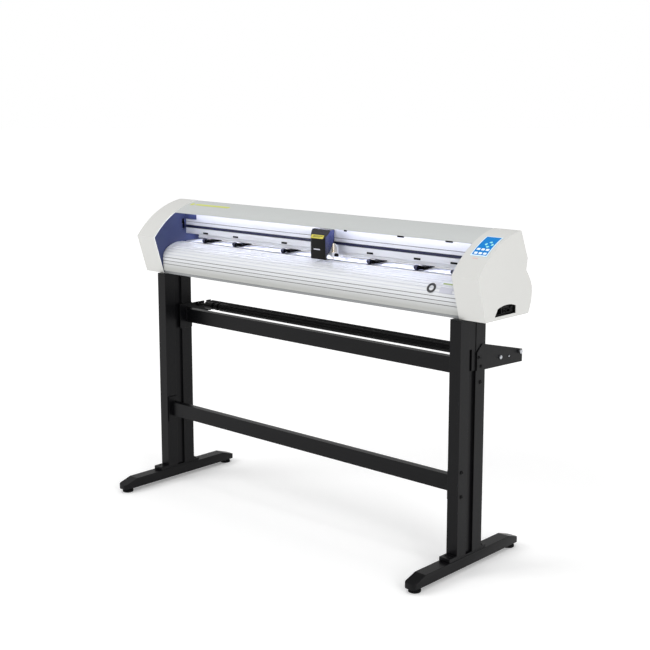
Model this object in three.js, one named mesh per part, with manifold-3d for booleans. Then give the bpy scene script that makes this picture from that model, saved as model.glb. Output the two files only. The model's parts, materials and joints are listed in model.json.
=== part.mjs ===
// A roll-fed vinyl cutter on its floor stand, in millimetres.
// +X is along the rail to the operator's right, +Y is to the rear, +Z is up.
// The origin is on the floor, under the middle of the machine.
import * as THREE from "three";
import { mergeVertices } from "three/addons/utils/BufferGeometryUtils.js";
import Module from "manifold-3d";

const wasm = await Module();
wasm.setup();

// ---------------------------------------------------------------- driving dimensions

const openingWidth = 1404; // clear width between the two end caps
const platenHeight = 940; // floor to the surface that the vinyl lies on
const bodyBottom = -115; // underside of the head, from the platen surface
const legInset = 2; // middle plane of each leg, in from the end of the opening
const gap = 0.3; // between two pieces that rest against each other
const runningGap = 0.3; // round a shaft that turns in a bore
const sheet = 3; // wall of the skins, plates and shells
const past = 1; // a cut runs this far past what it opens, and a joined piece this far into the next
const roundSides = 24;
const barSides = 20;
const boltSides = 16;
const pinSides = 12;

const halfOpening = openingWidth / 2;
const skinEnd = halfOpening - gap; // the skins stop just short of the caps
const columnCentre = halfOpening - legInset;
const underHead = platenHeight + bodyBottom;

const column = {
  width: 42,
  front: -66,
  rear: 66,
  channelFront: -19,
  channelRear: 16,
  channelDepth: 8,
  wall: 2,
};

const foot = {
  width: column.width + 2, // one more than the column on each side
  halfLength: 283,
  flatHalf: 226, // half length of the level part of the top
  underside: 14,
  top: 49.6,
  tipTop: 31.6,
  noseRadius: 12,
  wall: 2.5,
  solidEnd: 58, // length of each end that is left solid round the screw
};

const levelling = {
  y: 254,
  padRadius: 20.5,
  padHeight: 9,
  padBevel: 1,
  padSlope: 2, // drop of the pad's upper edge
  padShoulder: 3, // width of that slope
  neckRadius: 8,
  neckHeight: 2,
  screwRadius: 4,
  screwTop: 34,
  holeAbove: 4, // free hole over the screw, so that the foot can be screwed in
};

const base = { thickness: 6, front: -104, rear: 92, frontPad: 13, rearPad: 10 };

const headBracket = { plate: 5, tongue: 6, wideLength: 95, narrowLength: 70, narrowFront: -4 };

const crossBeam = { height: 53, wall: 2, endPlate: 4, endPlateMargin: 22 };
const lowerBeam = { bottom: 263, front: -46, rear: -20, plateFront: -62, plateRear: -21 };
const upperBeam = { bottom: underHead - 201, front: 38, rear: 65, plateFront: 4, plateRear: 65 };

const mediaArm = { thickness: 3, front: 18, frontBottom: underHead - 173, flangeWidth: 13 };
const tallArm = {
  rear: 272,
  rearBottom: underHead - 183,
  frontTop: underHead - 113,
  peakY: 46,
  peakTop: underHead - 89,
  rearTop: underHead - 141,
  flangeFront: 72,
  flangeRear: 268,
};
const lowArm = {
  rear: 208,
  rearBottom: underHead - 183,
  top: underHead - 139,
  flangeEnd: 120,
  notchFront: 172,
  notchRear: 184,
  notchFloor: underHead - 165,
  flangeStart: 2, // behind the column
};

const roller = { radius: 15, ribDepth: 1.6, ribs: 14, axleRadius: 5, bushRadius: 10, bushLength: 10 };
const frontRoller = { y: 143, z: underHead - 148, halfLength: columnCentre - 108, endCollar: 40 };
const rearRoller = { y: 195, z: underHead - 153, halfLength: columnCentre, endCollar: 12 };
const stopCollar = { radius: 14, hubRadius: 8, fromRoller: 14, disc: 15, neck: 14, barrel: 41 };

// Heights from here on are measured from the platen surface.
const capWidth = 100;
const hood = { frontY: -96, frontZ: 26, bendY: -6, bendZ: 136, rearY: 131, rearZ: 155 };
const capOutlineBelow = { frontY: -52, rearY: 182 };
const capRear = {
  shoulderY: 171,
  shoulderZ: 63,
  notchY: 165,
  notchZ: 25,
  bulgeY: 201,
  bulgeZ: -40,
  upperBend: 0.3, // height of the bend over the bulge, as a share of bulgeZ
  lowerBend: 0.7, // height of the bend under it, as a share of bodyBottom
};
const capCornerReach = 6.4; // the rounded top rear corner starts this far from its point

const apron = {
  bottom: -105,
  footY: -51,
  kickHeight: 26, // height of the leaning strip at the foot
  frontY: -54,
  bendStart: -56,
  bendY: -50,
  bendZ: -10,
  innerDrop: 2, // the inner curve starts this much lower than the outer one
  flatY: 20,
  ledge: 2, // the plate is this much thicker along the shaft slot
  ledgeStart: 4,
};
const rearApron = {
  bendStart: 150,
  bendY: 192,
  bendZ: -2,
  bulgeY: 197,
  bulgeZ: -42,
  lowBendZ: -73,
  footY: 178,
};
const groove = {
  count: 10,
  width: 2,
  floorShare: 0.6, // width of the groove's floor against its mouth
  depth: 1.3,
  first: 24,
  lead: 0.3, // share of the spacing that lies before each groove
};

const shaft = {
  y: 56,
  radius: 7,
  gritStep: 1, // the gritted lengths are this much larger in radius
  gritLength: 30,
  proud: 0.4,
  slotClear: 1.5,
  slotLip: 12,
  leftProud: 8, // it stands out of the left side plate
  motorClear: 3,
};
const gritRadius = shaft.radius + shaft.gritStep;
const shaftZ = shaft.proud - gritRadius;
const slotHalf = gritRadius + shaft.slotClear;

const strip = { y: 34, width: 8, thickness: 1.2, below: 0.2 };

const trayLipTop = -92;

const beam = {
  front: 68,
  rear: 124,
  lipFront: 70,
  bottom: 18,
  lipTop: 29.5,
  lipThickness: 6,
  lipShort: 70, // the lip stops this far from the left end of the opening
  lipSlope: 2,
  underside: 34,
  top: 106,
  wall: 4,
  channelBottom: 52,
  channelTop: 63,
  windowFront: 2, // the belt's window in the side plates is larger than the channel
  windowRear: 8,
  windowTop: 4,
  lineBottom: 74.5,
  lineTop: 76.5,
  lineDepth: 1.5,
  slotZ: 36,
  slotHeight: 5,
  slotDepth: 6,
};

const sidePlates = { inset: 2, thickness: 4 }; // in from the mouth of each cap
const bumperHole = { y: 55, halfWidth: 7, bottom: 46, top: 86 };
// A tab of the left side plate lies over the upper left corner of the rail.
const cornerTab = { thickness: 1.5, length: 62, drop: 20.5, topDrop: 1 };

const hoodStart = 0.523; // share of the hood curve at which the top cover begins
const hoodEnd = 0.95; // share of it at which the rounded rear corner begins
const coverDrop = 1; // the cover lies this far under the caps' outline
const coverFoot = 6; // the cover ends this far above the notch in the caps' rear edge

const pinch = {
  fromLeft: [120, 287, 542], // from the left end of the opening to each roller
  fromRight: [455, 252, 102],
  wheelRadius: 9,
  wheelWidth: 10,
  axleRadius: 2,
  cheek: 4,
  armExtra: 12, // the arm is this much wider than its fork, on the right
  pocketShift: -9, // the pocket over each roller lies to its left
  pocketLength: 26,
  cheekRadius: 6,
  armBottom: 3.6,
  armTop: 12,
  armFront: 66.5,
  pivotY: 138,
  pivotZ: 14,
  pivotRadius: 6,
  socketWall: 3.2,
  neckHalf: 2.8,
  slotClear: 0.5, // each side of the wheel
  slotDepthClear: 0.8,
  wheelBevel: 0.8,
  kneeReach: 16, // along the arm, from the pivot
  kneeRise: 2,
  neckReach: 8,
  neckRoot: 3,
  shoulderReach: 14,
  cheekRoot: 2,
};
const wheelZ = shaft.proud + gap + pinch.wheelRadius;

const carriage = {
  x: 64.5,
  bodyLeft: -40,
  bodyRight: 13,
  bodyFront: 48,
  bodyBottom: 27,
  bracketBottom: 72,
  bracketTop: 98,
  bracketWidth: 30,
  coverHalf: 42.5,
  coverFront: -6,
  coverRear: 30,
  coverBottom: 7,
  slopeStart: 81,
  slopeEndY: 14,
  coverTop: 109,
  cornerRadius: 18,
  cutFoot: 0,
  cutZ: 20,
  cutTop: 78,
  coverWall: 2.5,
  flangeRear: 96,
  flange: 5,
  railClear: 2,
  bracketGrip: 8, // the bracket reaches this far into the cover
  clampInset: 5,
  clampMargin: 2,
  sweepInset: 3, // bend of the cover's swept rear edge, from its top point
  sweepDrop: 18,
};

const tool = {
  x: 35.5,
  radius: 6,
  tip: 3,
  top: 62,
  ringRadius: 8.5,
  ringBottom: 15,
  ringTop: 30,
  plateLeft: 35,
  plateRight: 12,
  plateBottom: 19,
  plateTop: 60,
  plateThickness: 5,
  plateCorner: 20,
  knobZ: 22,
  knobRadius: 6,
  knobLength: 12,
  screwRadius: 2,
  screwHoleLength: 20,
  collarHeight: 3,
  collarProud: 2,
  neckDepth: 1,
  neckSlope: 0.5,
  headHeight: 7,
  knobLobes: 8,
  lobeDepth: 0.9,
};
// Turned tip of the blade holder: radius, height over the point.
const holderTip = [
  [0.6, 0],
  [0.6, 2],
  [3, 4],
  [4.4, 11],
  [tool.radius, 11.5],
];

const belt = {
  thickness: 1.5,
  width: 8,
  rise: 0.5, // over the underside of the pulleys
  frontClear: 3.7, // from the front of the rail to the belt
  rearClear: 1.7, // from the belt to the back of the channel
};
const pulley = {
  radius: 11.5,
  teeth: 18,
  toothDepth: 1,
  proud: 1, // the pulleys are this much taller than the belt
  fromOpening: 50,
  rise: 1, // over the floor of the channel
  shelfClear: 1.3,
  pinProud: 4,
  idlerShelf: 18, // half depth of the idler pulley's shelf
};
const beltOuter = pulley.radius + gap + belt.thickness;
const beltCentreY = beam.front + belt.frontClear + beltOuter;
const channelRear = beltCentreY + beltOuter + belt.rearClear;
const pulleyX = halfOpening + pulley.fromOpening;
const pulleyBottom = beam.channelBottom + pulley.rise;
const shelfTop = pulleyBottom - pulley.shelfClear;
const shelfBottom = shelfTop - sheet;

const feedGear = {
  module: 1.5,
  gearTeeth: 36,
  pinionTeeth: 12,
  width: 8,
  start: 10.5,
  addendum: 0.9, // in modules
  dedendum: 1.2,
  rootShare: 0.3, // half width of a tooth at its root, in tooth spacings
  tipShare: 0.11,
};
const motor = {
  side: 56,
  length: 50,
  shaftRadius: 4,
  corner: 5,
  boreDepth: 14,
  shaftReach: 10, // length of a shaft inside its motor
  shelfHoleClear: 2,
};
const feedMotorStart = 24; // from the end of the opening to the face of the feed motor

const portWindow = { front: -3, rear: 111, bottom: -104, springZ: -80, topZ: -72, slopeY: 12 };
const portPanel = { inset: 10, thickness: 3, border: 9, socketProud: 4 };
const sockets = [
  { y: 27, z: -90, width: 24, height: 17, wall: 3, depth: 10 }, // mains inlet
  { y: 55, z: -91.5, width: 8, height: 7, wall: 1.6, depth: 9 }, // square data socket
  { y: 76, z: -92, width: 17, height: 8, wall: 2, depth: 5 }, // wide data socket
];
const rocker = {
  y: 98,
  z: -89,
  width: 15,
  height: 20,
  depth: 9,
  tiltDegrees: 7,
  dish: 2,
  sideClear: 0.5,
  endClear: 1.2,
  sunk: 1, // its axis lies this far behind the face of the panel
};

// Each component is [from the board's right end, to, front, rear, height].
const board = { fromEnd: 20, length: 130, front: -20, rear: 70, thickness: 2 };
const boardParts = [
  [120, 90, -12, 18, 16],
  [80, 50, -14, 16, 5],
  [40, 12, 20, 60, 12],
  [110, 60, 40, 64, 9],
];
const supply = { fromEnd: 190, length: 160, front: -10, rear: 88, height: 38 };
const terminals = { overlap: 4, proud: 12, front: 4, rear: 74, bottom: 18, top: 30 };

const keypad = { fromOpening: 26, width: 61, from: 0.31, to: 0.7, thickness: 1 };

// ---------------------------------------------------------------- materials

function finish(color, roughness, metalness) {
  return new THREE.MeshStandardMaterial({ color, roughness, metalness });
}

const blackPaint = finish(0x1c1c1e, 0.5, 0.3);
const blackPlastic = finish(0x161617, 0.55, 0);
const rubber = finish(0x2a2b2e, 0.85, 0);
const lightShell = finish(0xdcdddb, 0.45, 0);
const greyCover = finish(0xc6c8c7, 0.5, 0.1);
const aluminium = finish(0xd9dce6, 0.3, 0.8);
const steel = finish(0x9a9ca0, 0.35, 0.9);
const navyPaint = finish(0x2c3560, 0.4, 0.3);
const blueFilm = finish(0x2f9bd8, 0.4, 0);
const brass = finish(0xb79a5a, 0.3, 0.9);
const boardGreen = finish(0x1f5b38, 0.5, 0);
const creamStrip = finish(0xe8e4d2, 0.6, 0);

// ---------------------------------------------------------------- shape helpers

const X = new THREE.Vector3(1, 0, 0);
const Y = new THREE.Vector3(0, 1, 0);
const Z = new THREE.Vector3(0, 0, 1);
const backY = new THREE.Vector3(0, -1, 0);

function pathOf(points) {
  return points.map(([u, v]) => new THREE.Vector2(u, v));
}

function extruded(outline, depth, holes) {
  const shape = new THREE.Shape(pathOf(outline));
  shape.holes = holes.map((hole) => new THREE.Path(pathOf(hole)));
  return new THREE.ExtrudeGeometry(shape, { depth, bevelEnabled: false });
}

// The outline is in (y, z).
function alongX(outline, from, to, holes = []) {
  const turn = new THREE.Matrix4().makeBasis(Y, Z, X).setPosition(from, 0, 0);
  return extruded(outline, to - from, holes).applyMatrix4(turn);
}

// The outline is in (x, z).
function alongY(outline, from, to, holes = []) {
  const turn = new THREE.Matrix4().makeBasis(X, Z, backY).setPosition(0, to, 0);
  return extruded(outline, to - from, holes).applyMatrix4(turn);
}

// The outline is in (x, y).
function alongZ(outline, from, to, holes = []) {
  return extruded(outline, to - from, holes).translate(0, 0, from);
}

function block(corner, opposite) {
  const size = corner.map((value, i) => Math.abs(opposite[i] - value));
  const middle = corner.map((value, i) => (value + opposite[i]) / 2);
  return new THREE.BoxGeometry(...size).translate(...middle);
}

function rectangle(u0, v0, u1, v1) {
  return [
    [u0, v0],
    [u1, v0],
    [u1, v1],
    [u0, v1],
  ];
}

function arc(u, v, radius, start, end, sides) {
  const points = [];
  for (let i = 0; i <= sides; i++) {
    const angle = start + ((end - start) * i) / sides;
    points.push([u + radius * Math.cos(angle), v + radius * Math.sin(angle)]);
  }
  return points;
}

function circle(u, v, radius, sides = roundSides) {
  return arc(u, v, radius, 0, 2 * Math.PI, sides).slice(0, -1);
}

function curve(start, bend, end, sides, from = 0, to = 1) {
  const bezier = new THREE.QuadraticBezierCurve(...pathOf([start, bend, end]));
  const points = [];
  for (let i = 0; i <= sides; i++) {
    const point = bezier.getPoint(from + ((to - from) * i) / sides);
    points.push([point.x, point.y]);
  }
  return points;
}

function rodX(radius, from, to, y, z, sides = roundSides) {
  return alongX(circle(y, z, radius, sides), from, to);
}

function rodZ(radius, from, to, x, y, sides = roundSides) {
  return alongZ(circle(x, y, radius, sides), from, to);
}

function solidOf(geometry) {
  const bare = geometry.clone();
  bare.deleteAttribute("normal");
  bare.deleteAttribute("uv");
  const merged = mergeVertices(bare, 1e-4);
  const mesh = new wasm.Mesh({
    numProp: 3,
    vertProperties: merged.attributes.position.array,
    triVerts: new Uint32Array(merged.index.array),
  });
  return new wasm.Manifold(mesh);
}

function geometryOf(solid) {
  const mesh = solid.getMesh();
  const geometry = new THREE.BufferGeometry();
  geometry.setAttribute("position", new THREE.BufferAttribute(mesh.vertProperties, 3));
  geometry.setIndex(new THREE.BufferAttribute(mesh.triVerts, 1));
  geometry.computeVertexNormals();
  return geometry;
}

function join(...pieces) {
  return geometryOf(pieces.map(solidOf).reduce((sum, piece) => sum.add(piece)));
}

function cut(body, ...tools) {
  return geometryOf(tools.map(solidOf).reduce((rest, piece) => rest.subtract(piece), solidOf(body)));
}

function common(first, second) {
  return geometryOf(solidOf(first).intersect(solidOf(second)));
}

// Moves every edge of a closed outline inwards by the distance.
function inset(outline, distance) {
  const count = outline.length;
  const twiceArea = outline.reduce((sum, [u, v], i) => {
    const [nextU, nextV] = outline[(i + 1) % count];
    return sum + u * nextV - nextU * v;
  }, 0);
  const side = Math.sign(twiceArea) * distance;
  return outline.map(([u, v], i) => {
    const [pu, pv] = outline[(i + count - 1) % count];
    const [nu, nv] = outline[(i + 1) % count];
    const before = new THREE.Vector2(u - pu, v - pv).normalize();
    const after = new THREE.Vector2(nu - u, nv - v).normalize();
    const mitre = new THREE.Vector2(-before.y - after.y, before.x + after.x).normalize();
    const reach = side / (mitre.x * -before.y + mitre.y * before.x);
    return [u + mitre.x * reach, v + mitre.y * reach];
  });
}

// A closed band of one thickness that follows an open path, on its left-hand side.
function band(path, thickness) {
  const normals = path.map(([u, v], i) => {
    const [pu, pv] = path[Math.max(i - 1, 0)];
    const [nu, nv] = path[Math.min(i + 1, path.length - 1)];
    return new THREE.Vector2(pv - nv, nu - pu).normalize();
  });
  const far = path.map(([u, v], i) => [u + normals[i].x * thickness, v + normals[i].y * thickness]);
  return [...path, ...far.reverse()];
}

function place(group, name, geometry, material) {
  const mesh = new THREE.Mesh(geometry, material);
  mesh.name = name;
  group.add(mesh);
  return mesh;
}

function subgroup(parent, x, y, z) {
  const group = new THREE.Group();
  group.position.set(x, y, z);
  parent.add(group);
  return group;
}

const machine = new THREE.Group();
machine.name = "vinyl_cutter";
const sides = [
  ["left", -1],
  ["right", 1],
];

// ---------------------------------------------------------------- legs

function footBar() {
  const profile = [
    [-foot.halfLength, foot.underside],
    [foot.halfLength, foot.underside],
    [foot.halfLength, foot.tipTop],
    [foot.flatHalf, foot.top],
    [-foot.flatHalf, foot.top],
    [-foot.halfLength, foot.tipTop],
  ];
  const half = foot.width / 2;
  const nose = foot.halfLength - foot.noseRadius;
  const flank = half - foot.noseRadius;
  const quarter = Math.PI / 2;
  const plan = [
    ...arc(flank, nose, foot.noseRadius, 0, quarter, 4),
    ...arc(-flank, nose, foot.noseRadius, quarter, 2 * quarter, 4),
    ...arc(-flank, -nose, foot.noseRadius, 2 * quarter, 3 * quarter, 4),
    ...arc(flank, -nose, foot.noseRadius, 3 * quarter, 4 * quarter, 4),
  ];
  const outer = common(alongX(profile, -half, half), alongZ(plan, 0, foot.top + past));
  const hollowEnd = foot.halfLength - foot.solidEnd;
  const hollow = block(
    [-half + foot.wall, -hollowEnd, foot.underside - past],
    [half - foot.wall, hollowEnd, foot.top - foot.wall],
  );
  const screwHole = levelling.screwRadius + runningGap;
  const holeTop = levelling.screwTop + levelling.holeAbove;
  const holes = [-1, 1].map((end) =>
    rodZ(screwHole, foot.underside - past, holeTop, 0, end * levelling.y, boltSides),
  );
  return cut(outer, hollow, ...holes);
}

function levellingFoot() {
  const neckTop = levelling.padHeight + levelling.neckHeight;
  const outline = [
    [0, 0],
    [levelling.padRadius - levelling.padBevel, 0],
    [levelling.padRadius, levelling.padBevel],
    [levelling.padRadius, levelling.padHeight - levelling.padSlope],
    [levelling.padRadius - levelling.padShoulder, levelling.padHeight],
    [levelling.neckRadius, levelling.padHeight],
    [levelling.neckRadius, neckTop],
    [levelling.screwRadius, neckTop],
    [levelling.screwRadius, levelling.screwTop],
    [0, levelling.screwTop],
  ];
  return new THREE.LatheGeometry(pathOf(outline), roundSides).rotateX(Math.PI / 2);
}

function baseBracket() {
  const half = column.width / 2;
  const bottom = foot.top + gap;
  const top = bottom + base.thickness;
  const plate = block([-half, base.front, bottom], [half, base.rear, top]);
  const frontPad = block([-half, base.front, bottom], [half, column.front - gap, bottom + base.frontPad]);
  const rearPad = block([-half, column.rear + gap, bottom], [half, base.rear, bottom + base.rearPad]);
  return join(plate, frontPad, rearPad);
}

const columnBottom = foot.top + 2 * gap + base.thickness;
const columnTop = underHead - headBracket.plate - 2 * gap;

function columnTube() {
  const half = column.width / 2;
  const web = half - column.channelDepth;
  const outline = [
    [-half, column.front],
    [half, column.front],
    [half, column.channelFront],
    [web, column.channelFront],
    [web, column.channelRear],
    [half, column.channelRear],
    [half, column.rear],
    [-half, column.rear],
    [-half, column.channelRear],
    [-web, column.channelRear],
    [-web, column.channelFront],
    [-half, column.channelFront],
  ];
  const bore = half - column.wall;
  const webBore = web - column.wall;
  const holes = [
    rectangle(-bore, column.front + column.wall, bore, column.channelFront - column.wall),
    rectangle(-webBore, column.channelFront + column.wall, webBore, column.channelRear - column.wall),
    rectangle(-bore, column.channelRear + column.wall, bore, column.rear - column.wall),
  ];
  return alongZ(outline, columnBottom, columnTop, holes);
}

function headBracketShape(side) {
  const half = column.width / 2;
  const top = underHead - gap;
  const plate = block([-half, column.front, top - headBracket.plate], [half, column.rear, top]);
  const inner = side * (half - column.channelDepth + gap);
  const outer = inner + side * headBracket.tongue;
  const rear = column.channelRear - gap;
  const wideBottom = columnTop - headBracket.wideLength;
  const narrowBottom = wideBottom - headBracket.narrowLength;
  const wide = block([inner, column.channelFront + gap, wideBottom], [outer, rear, top]);
  const narrow = block([inner, headBracket.narrowFront, narrowBottom], [outer, rear, top]);
  return join(plate, wide, narrow);
}

function crossBeamShape(seat) {
  const end = columnCentre - column.width / 2 - gap;
  const top = seat.bottom + crossBeam.height;
  const wall = crossBeam.wall;
  const plateStart = end - crossBeam.endPlate;
  const margin = crossBeam.endPlateMargin;
  const tube = block([-end, seat.front, seat.bottom], [end, seat.rear, top]);
  const plates = [-1, 1].map((side) =>
    block(
      [side * plateStart, seat.plateFront, seat.bottom - margin],
      [side * end, seat.plateRear, top + margin],
    ),
  );
  const bore = block(
    [-end - past, seat.front + wall, seat.bottom + wall],
    [end + past, seat.rear - wall, top - wall],
  );
  return cut(join(tube, ...plates), bore);
}

for (const [label, side] of sides) {
  const leg = subgroup(machine, side * columnCentre, 0, 0);
  place(leg, label + "_foot_bar", footBar(), blackPaint);
  for (const [end, y] of [["front", -levelling.y], ["rear", levelling.y]]) {
    const pad = place(leg, label + "_" + end + "_levelling_foot", levellingFoot(), rubber);
    pad.position.y = y;
  }
  place(leg, label + "_base_bracket", baseBracket(), blackPaint);
  place(leg, label + "_column", columnTube(), blackPaint);
  place(leg, label + "_head_bracket", headBracketShape(side), blackPaint);
}
place(machine, "lower_cross_beam", crossBeamShape(lowerBeam), blackPaint);
place(machine, "upper_cross_beam", crossBeamShape(upperBeam), blackPaint);

// ---------------------------------------------------------------- roll holder

const armInner = columnCentre + column.width / 2 + gap;
const armOuter = armInner + mediaArm.thickness;

function tallArmOutline() {
  const { rear, rearBottom, frontTop, peakY, peakTop, rearTop } = tallArm;
  return [
    [mediaArm.front, mediaArm.frontBottom],
    [rear, rearBottom],
    [rear, rearTop],
    [peakY, peakTop],
    [mediaArm.front, frontTop],
  ];
}

function tallArmFlange() {
  const { peakY, peakTop, rear, rearTop, flangeFront, flangeRear } = tallArm;
  const slope = (rearTop - peakTop) / (rear - peakY);
  const topAt = (y) => peakTop + slope * (y - peakY);
  return [
    [flangeFront, topAt(flangeFront) - mediaArm.thickness],
    [flangeRear, topAt(flangeRear) - mediaArm.thickness],
    [flangeRear, topAt(flangeRear)],
    [flangeFront, topAt(flangeFront)],
  ];
}

// A notch in the top edge stands between the two rollers.
function lowArmOutline() {
  const { rear, rearBottom, top, notchFront, notchRear, notchFloor } = lowArm;
  return [
    [mediaArm.front, mediaArm.frontBottom],
    [rear, rearBottom],
    [rear, top],
    [notchRear, top],
    [notchRear, notchFloor],
    [notchFront, notchFloor],
    [notchFront, top],
    [mediaArm.front, top],
  ];
}

function lowArmFlange() {
  const { top, flangeStart, flangeEnd } = lowArm;
  return rectangle(column.rear + flangeStart, top - mediaArm.thickness, flangeEnd, top);
}

function mediaArmShape(side, outline, flange) {
  const span = (a, b) => [Math.min(side * a, side * b), Math.max(side * a, side * b)];
  const plate = alongX(outline, ...span(armInner, armOuter));
  const lip = alongX(flange, ...span(armOuter - mediaArm.flangeWidth, armOuter));
  const bushEnd = armInner - roller.bushLength;
  const axles = [frontRoller, rearRoller];
  const bushSpan = span(bushEnd, armInner + past);
  const boreSpan = span(bushEnd - past, armOuter + past);
  const bushes = axles.map(({ y, z }) => rodX(roller.bushRadius, ...bushSpan, y, z, barSides));
  const boreRadius = roller.axleRadius + runningGap;
  const bores = axles.map(({ y, z }) => rodX(boreRadius, ...boreSpan, y, z, boltSides));
  return cut(join(plate, lip, ...bushes), ...bores);
}

function mediaRoller({ y, z, halfLength, endCollar }) {
  const outline = [];
  for (let i = 0; i < 2 * roller.ribs; i++) {
    const radius = i % 2 ? roller.radius - roller.ribDepth : roller.radius;
    const middle = (Math.PI * i) / roller.ribs;
    const spread = Math.PI / roller.ribs / 3;
    outline.push(...arc(y, z, radius, middle - spread, middle + spread, 1));
  }
  const ribbedEnd = halfLength - endCollar;
  return join(
    alongX(outline, -ribbedEnd - past, ribbedEnd + past),
    rodX(roller.radius, -halfLength, -ribbedEnd, y, z),
    rodX(roller.radius, ribbedEnd, halfLength, y, z),
    rodX(roller.axleRadius, past - armOuter, armOuter - past, y, z, boltSides),
  );
}

function stopCollarShape(side) {
  const { y, z } = frontRoller;
  const steps = [
    [stopCollar.radius, stopCollar.disc],
    [stopCollar.hubRadius, stopCollar.neck],
    [stopCollar.radius, stopCollar.barrel],
  ];
  const rods = [];
  const inner = frontRoller.halfLength + stopCollar.fromRoller;
  let start = inner;
  for (const [radius, length] of steps) {
    const ends = [side * start, side * (start + length)].sort((a, b) => a - b);
    rods.push(rodX(radius, ...ends, y, z));
    start += length;
  }
  const ends = [side * (inner - past), side * (start + past)].sort((a, b) => a - b);
  return cut(join(...rods), rodX(roller.axleRadius + runningGap, ...ends, y, z, boltSides));
}

place(machine, "left_media_arm", mediaArmShape(-1, lowArmOutline(), lowArmFlange()), blackPaint);
place(machine, "right_media_arm", mediaArmShape(1, tallArmOutline(), tallArmFlange()), blackPaint);
for (const [label, side] of sides) {
  place(machine, label + "_stop_collar", stopCollarShape(side), blackPlastic);
}
place(machine, "front_media_roller", mediaRoller(frontRoller), blackPaint);
place(machine, "rear_media_roller", mediaRoller(rearRoller), blackPaint);

// ---------------------------------------------------------------- head: skins

const head = subgroup(machine, 0, 0, platenHeight);

function hoodCurve(from, to, steps) {
  const start = [hood.frontY, hood.frontZ];
  const bend = [hood.bendY, hood.bendZ];
  const end = [hood.rearY, hood.rearZ];
  return curve(start, bend, end, steps, from, to);
}

function roundedCorner(before, corner, after, radius, steps) {
  const [cu, cv] = corner;
  const back = new THREE.Vector2(before[0] - cu, before[1] - cv).setLength(radius);
  const on = new THREE.Vector2(after[0] - cu, after[1] - cv).setLength(radius);
  return curve([cu + back.x, cv + back.y], corner, [cu + on.x, cv + on.y], steps);
}

function capOutline() {
  const top = hoodCurve(0, hoodEnd, 10);
  const topRear = [hood.rearY, hood.rearZ];
  const shoulder = [capRear.shoulderY, capRear.shoulderZ];
  const notch = [capRear.notchY, capRear.notchZ];
  const bulge = [capRear.bulgeY, capRear.bulgeZ];
  const foot = [capOutlineBelow.rearY, bodyBottom];
  return [
    [capOutlineBelow.frontY, bodyBottom],
    ...top,
    ...roundedCorner(top.at(-1), topRear, shoulder, capCornerReach, 3).slice(1),
    shoulder,
    ...curve(notch, [bulge[0] - sheet, capRear.upperBend * bulge[1]], bulge, 5),
    ...curve(bulge, [bulge[0], capRear.lowerBend * bodyBottom], foot, 4).slice(1),
  ].reverse();
}

const capShape = capOutline();
const cavityShape = inset(capShape, sheet);
const plateShape = inset(capShape, sheet + gap);

function portOutline() {
  const { front, rear, bottom, springZ, topZ, slopeY } = portWindow;
  const bend = [(rear + slopeY) / 2, 2 * topZ - springZ];
  return [[front, bottom], [rear, bottom], ...curve([rear, springZ], bend, [slopeY, springZ], 8)];
}

function endCap(side) {
  const inner = side * halfOpening;
  const outer = side * (halfOpening + capWidth);
  const floor = outer - side * sheet;
  const mouth = inner - side * past;
  const shell = alongX(capShape, Math.min(inner, outer), Math.max(inner, outer));
  const cavity = alongX(cavityShape, Math.min(mouth, floor), Math.max(mouth, floor));
  if (side < 0) return cut(shell, cavity);
  return cut(shell, cavity, alongX(portOutline(), floor - past, outer + past));
}

// The apron's outer path, from its foot up and over to the grit shaft slot.
function frontPath() {
  const start = [apron.frontY, apron.bendStart];
  const bend = [apron.bendY, apron.bendZ];
  const end = [apron.flatY, 0];
  const bow = curve(start, bend, end, 24);
  return [[apron.footY, apron.bottom], [apron.frontY, apron.bottom + apron.kickHeight], ...bow];
}

function along(path, distance) {
  let left = distance;
  for (let i = 1; i < path.length; i++) {
    const [au, av] = path[i - 1];
    const [bu, bv] = path[i];
    const length = Math.hypot(bu - au, bv - av);
    if (left <= length || i === path.length - 1) {
      const share = left / length;
      const inward = [(bv - av) / length, -(bu - au) / length];
      return { point: [au + (bu - au) * share, av + (bv - av) * share], inward };
    }
    left -= length;
  }
}

function groovedPath(path) {
  const lengths = path.slice(1).map(([u, v], i) => Math.hypot(u - path[i][0], v - path[i][1]));
  const total = lengths.reduce((sum, length) => sum + length, 0);
  const spacing = (total - groove.first) / groove.count;
  const points = [path[0]];
  for (let i = 0; i < groove.count; i++) {
    const middle = groove.first + (i + groove.lead) * spacing;
    for (const [offset, depth] of [[-1, 0], [-groove.floorShare, 1], [groove.floorShare, 1], [1, 0]]) {
      const { point, inward } = along(path, middle + (offset * groove.width) / 2);
      points.push([point[0] + inward[0] * depth * groove.depth, point[1] + inward[1] * depth * groove.depth]);
    }
    points.push(along(path, middle + spacing / 2).point);
  }
  return [...points, path.at(-1)];
}

function frontPlaten() {
  const edge = shaft.y - slotHalf;
  const stripHalf = strip.width / 2 + gap;
  const stripDepth = -strip.thickness - strip.below - gap;
  const outer = groovedPath(frontPath());
  const inner = curve(
    [apron.frontY + sheet, apron.bendStart - apron.innerDrop],
    [apron.bendY + sheet, apron.bendZ - sheet],
    [apron.flatY, -sheet],
    10,
  );
  const outline = [
    ...outer,
    [strip.y - stripHalf, 0],
    [strip.y - stripHalf, stripDepth],
    [strip.y + stripHalf, stripDepth],
    [strip.y + stripHalf, 0],
    [edge, 0],
    [edge, -shaft.slotLip],
    [edge - sheet, -shaft.slotLip],
    [edge - sheet, -sheet - apron.ledge],
    [apron.flatY + apron.ledgeStart, -sheet - apron.ledge],
    ...inner.reverse(),
    [apron.frontY + sheet, apron.bottom + apron.kickHeight],
    [apron.footY + sheet, apron.bottom],
  ];
  return alongX(outline, -skinEnd, skinEnd);
}

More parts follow.
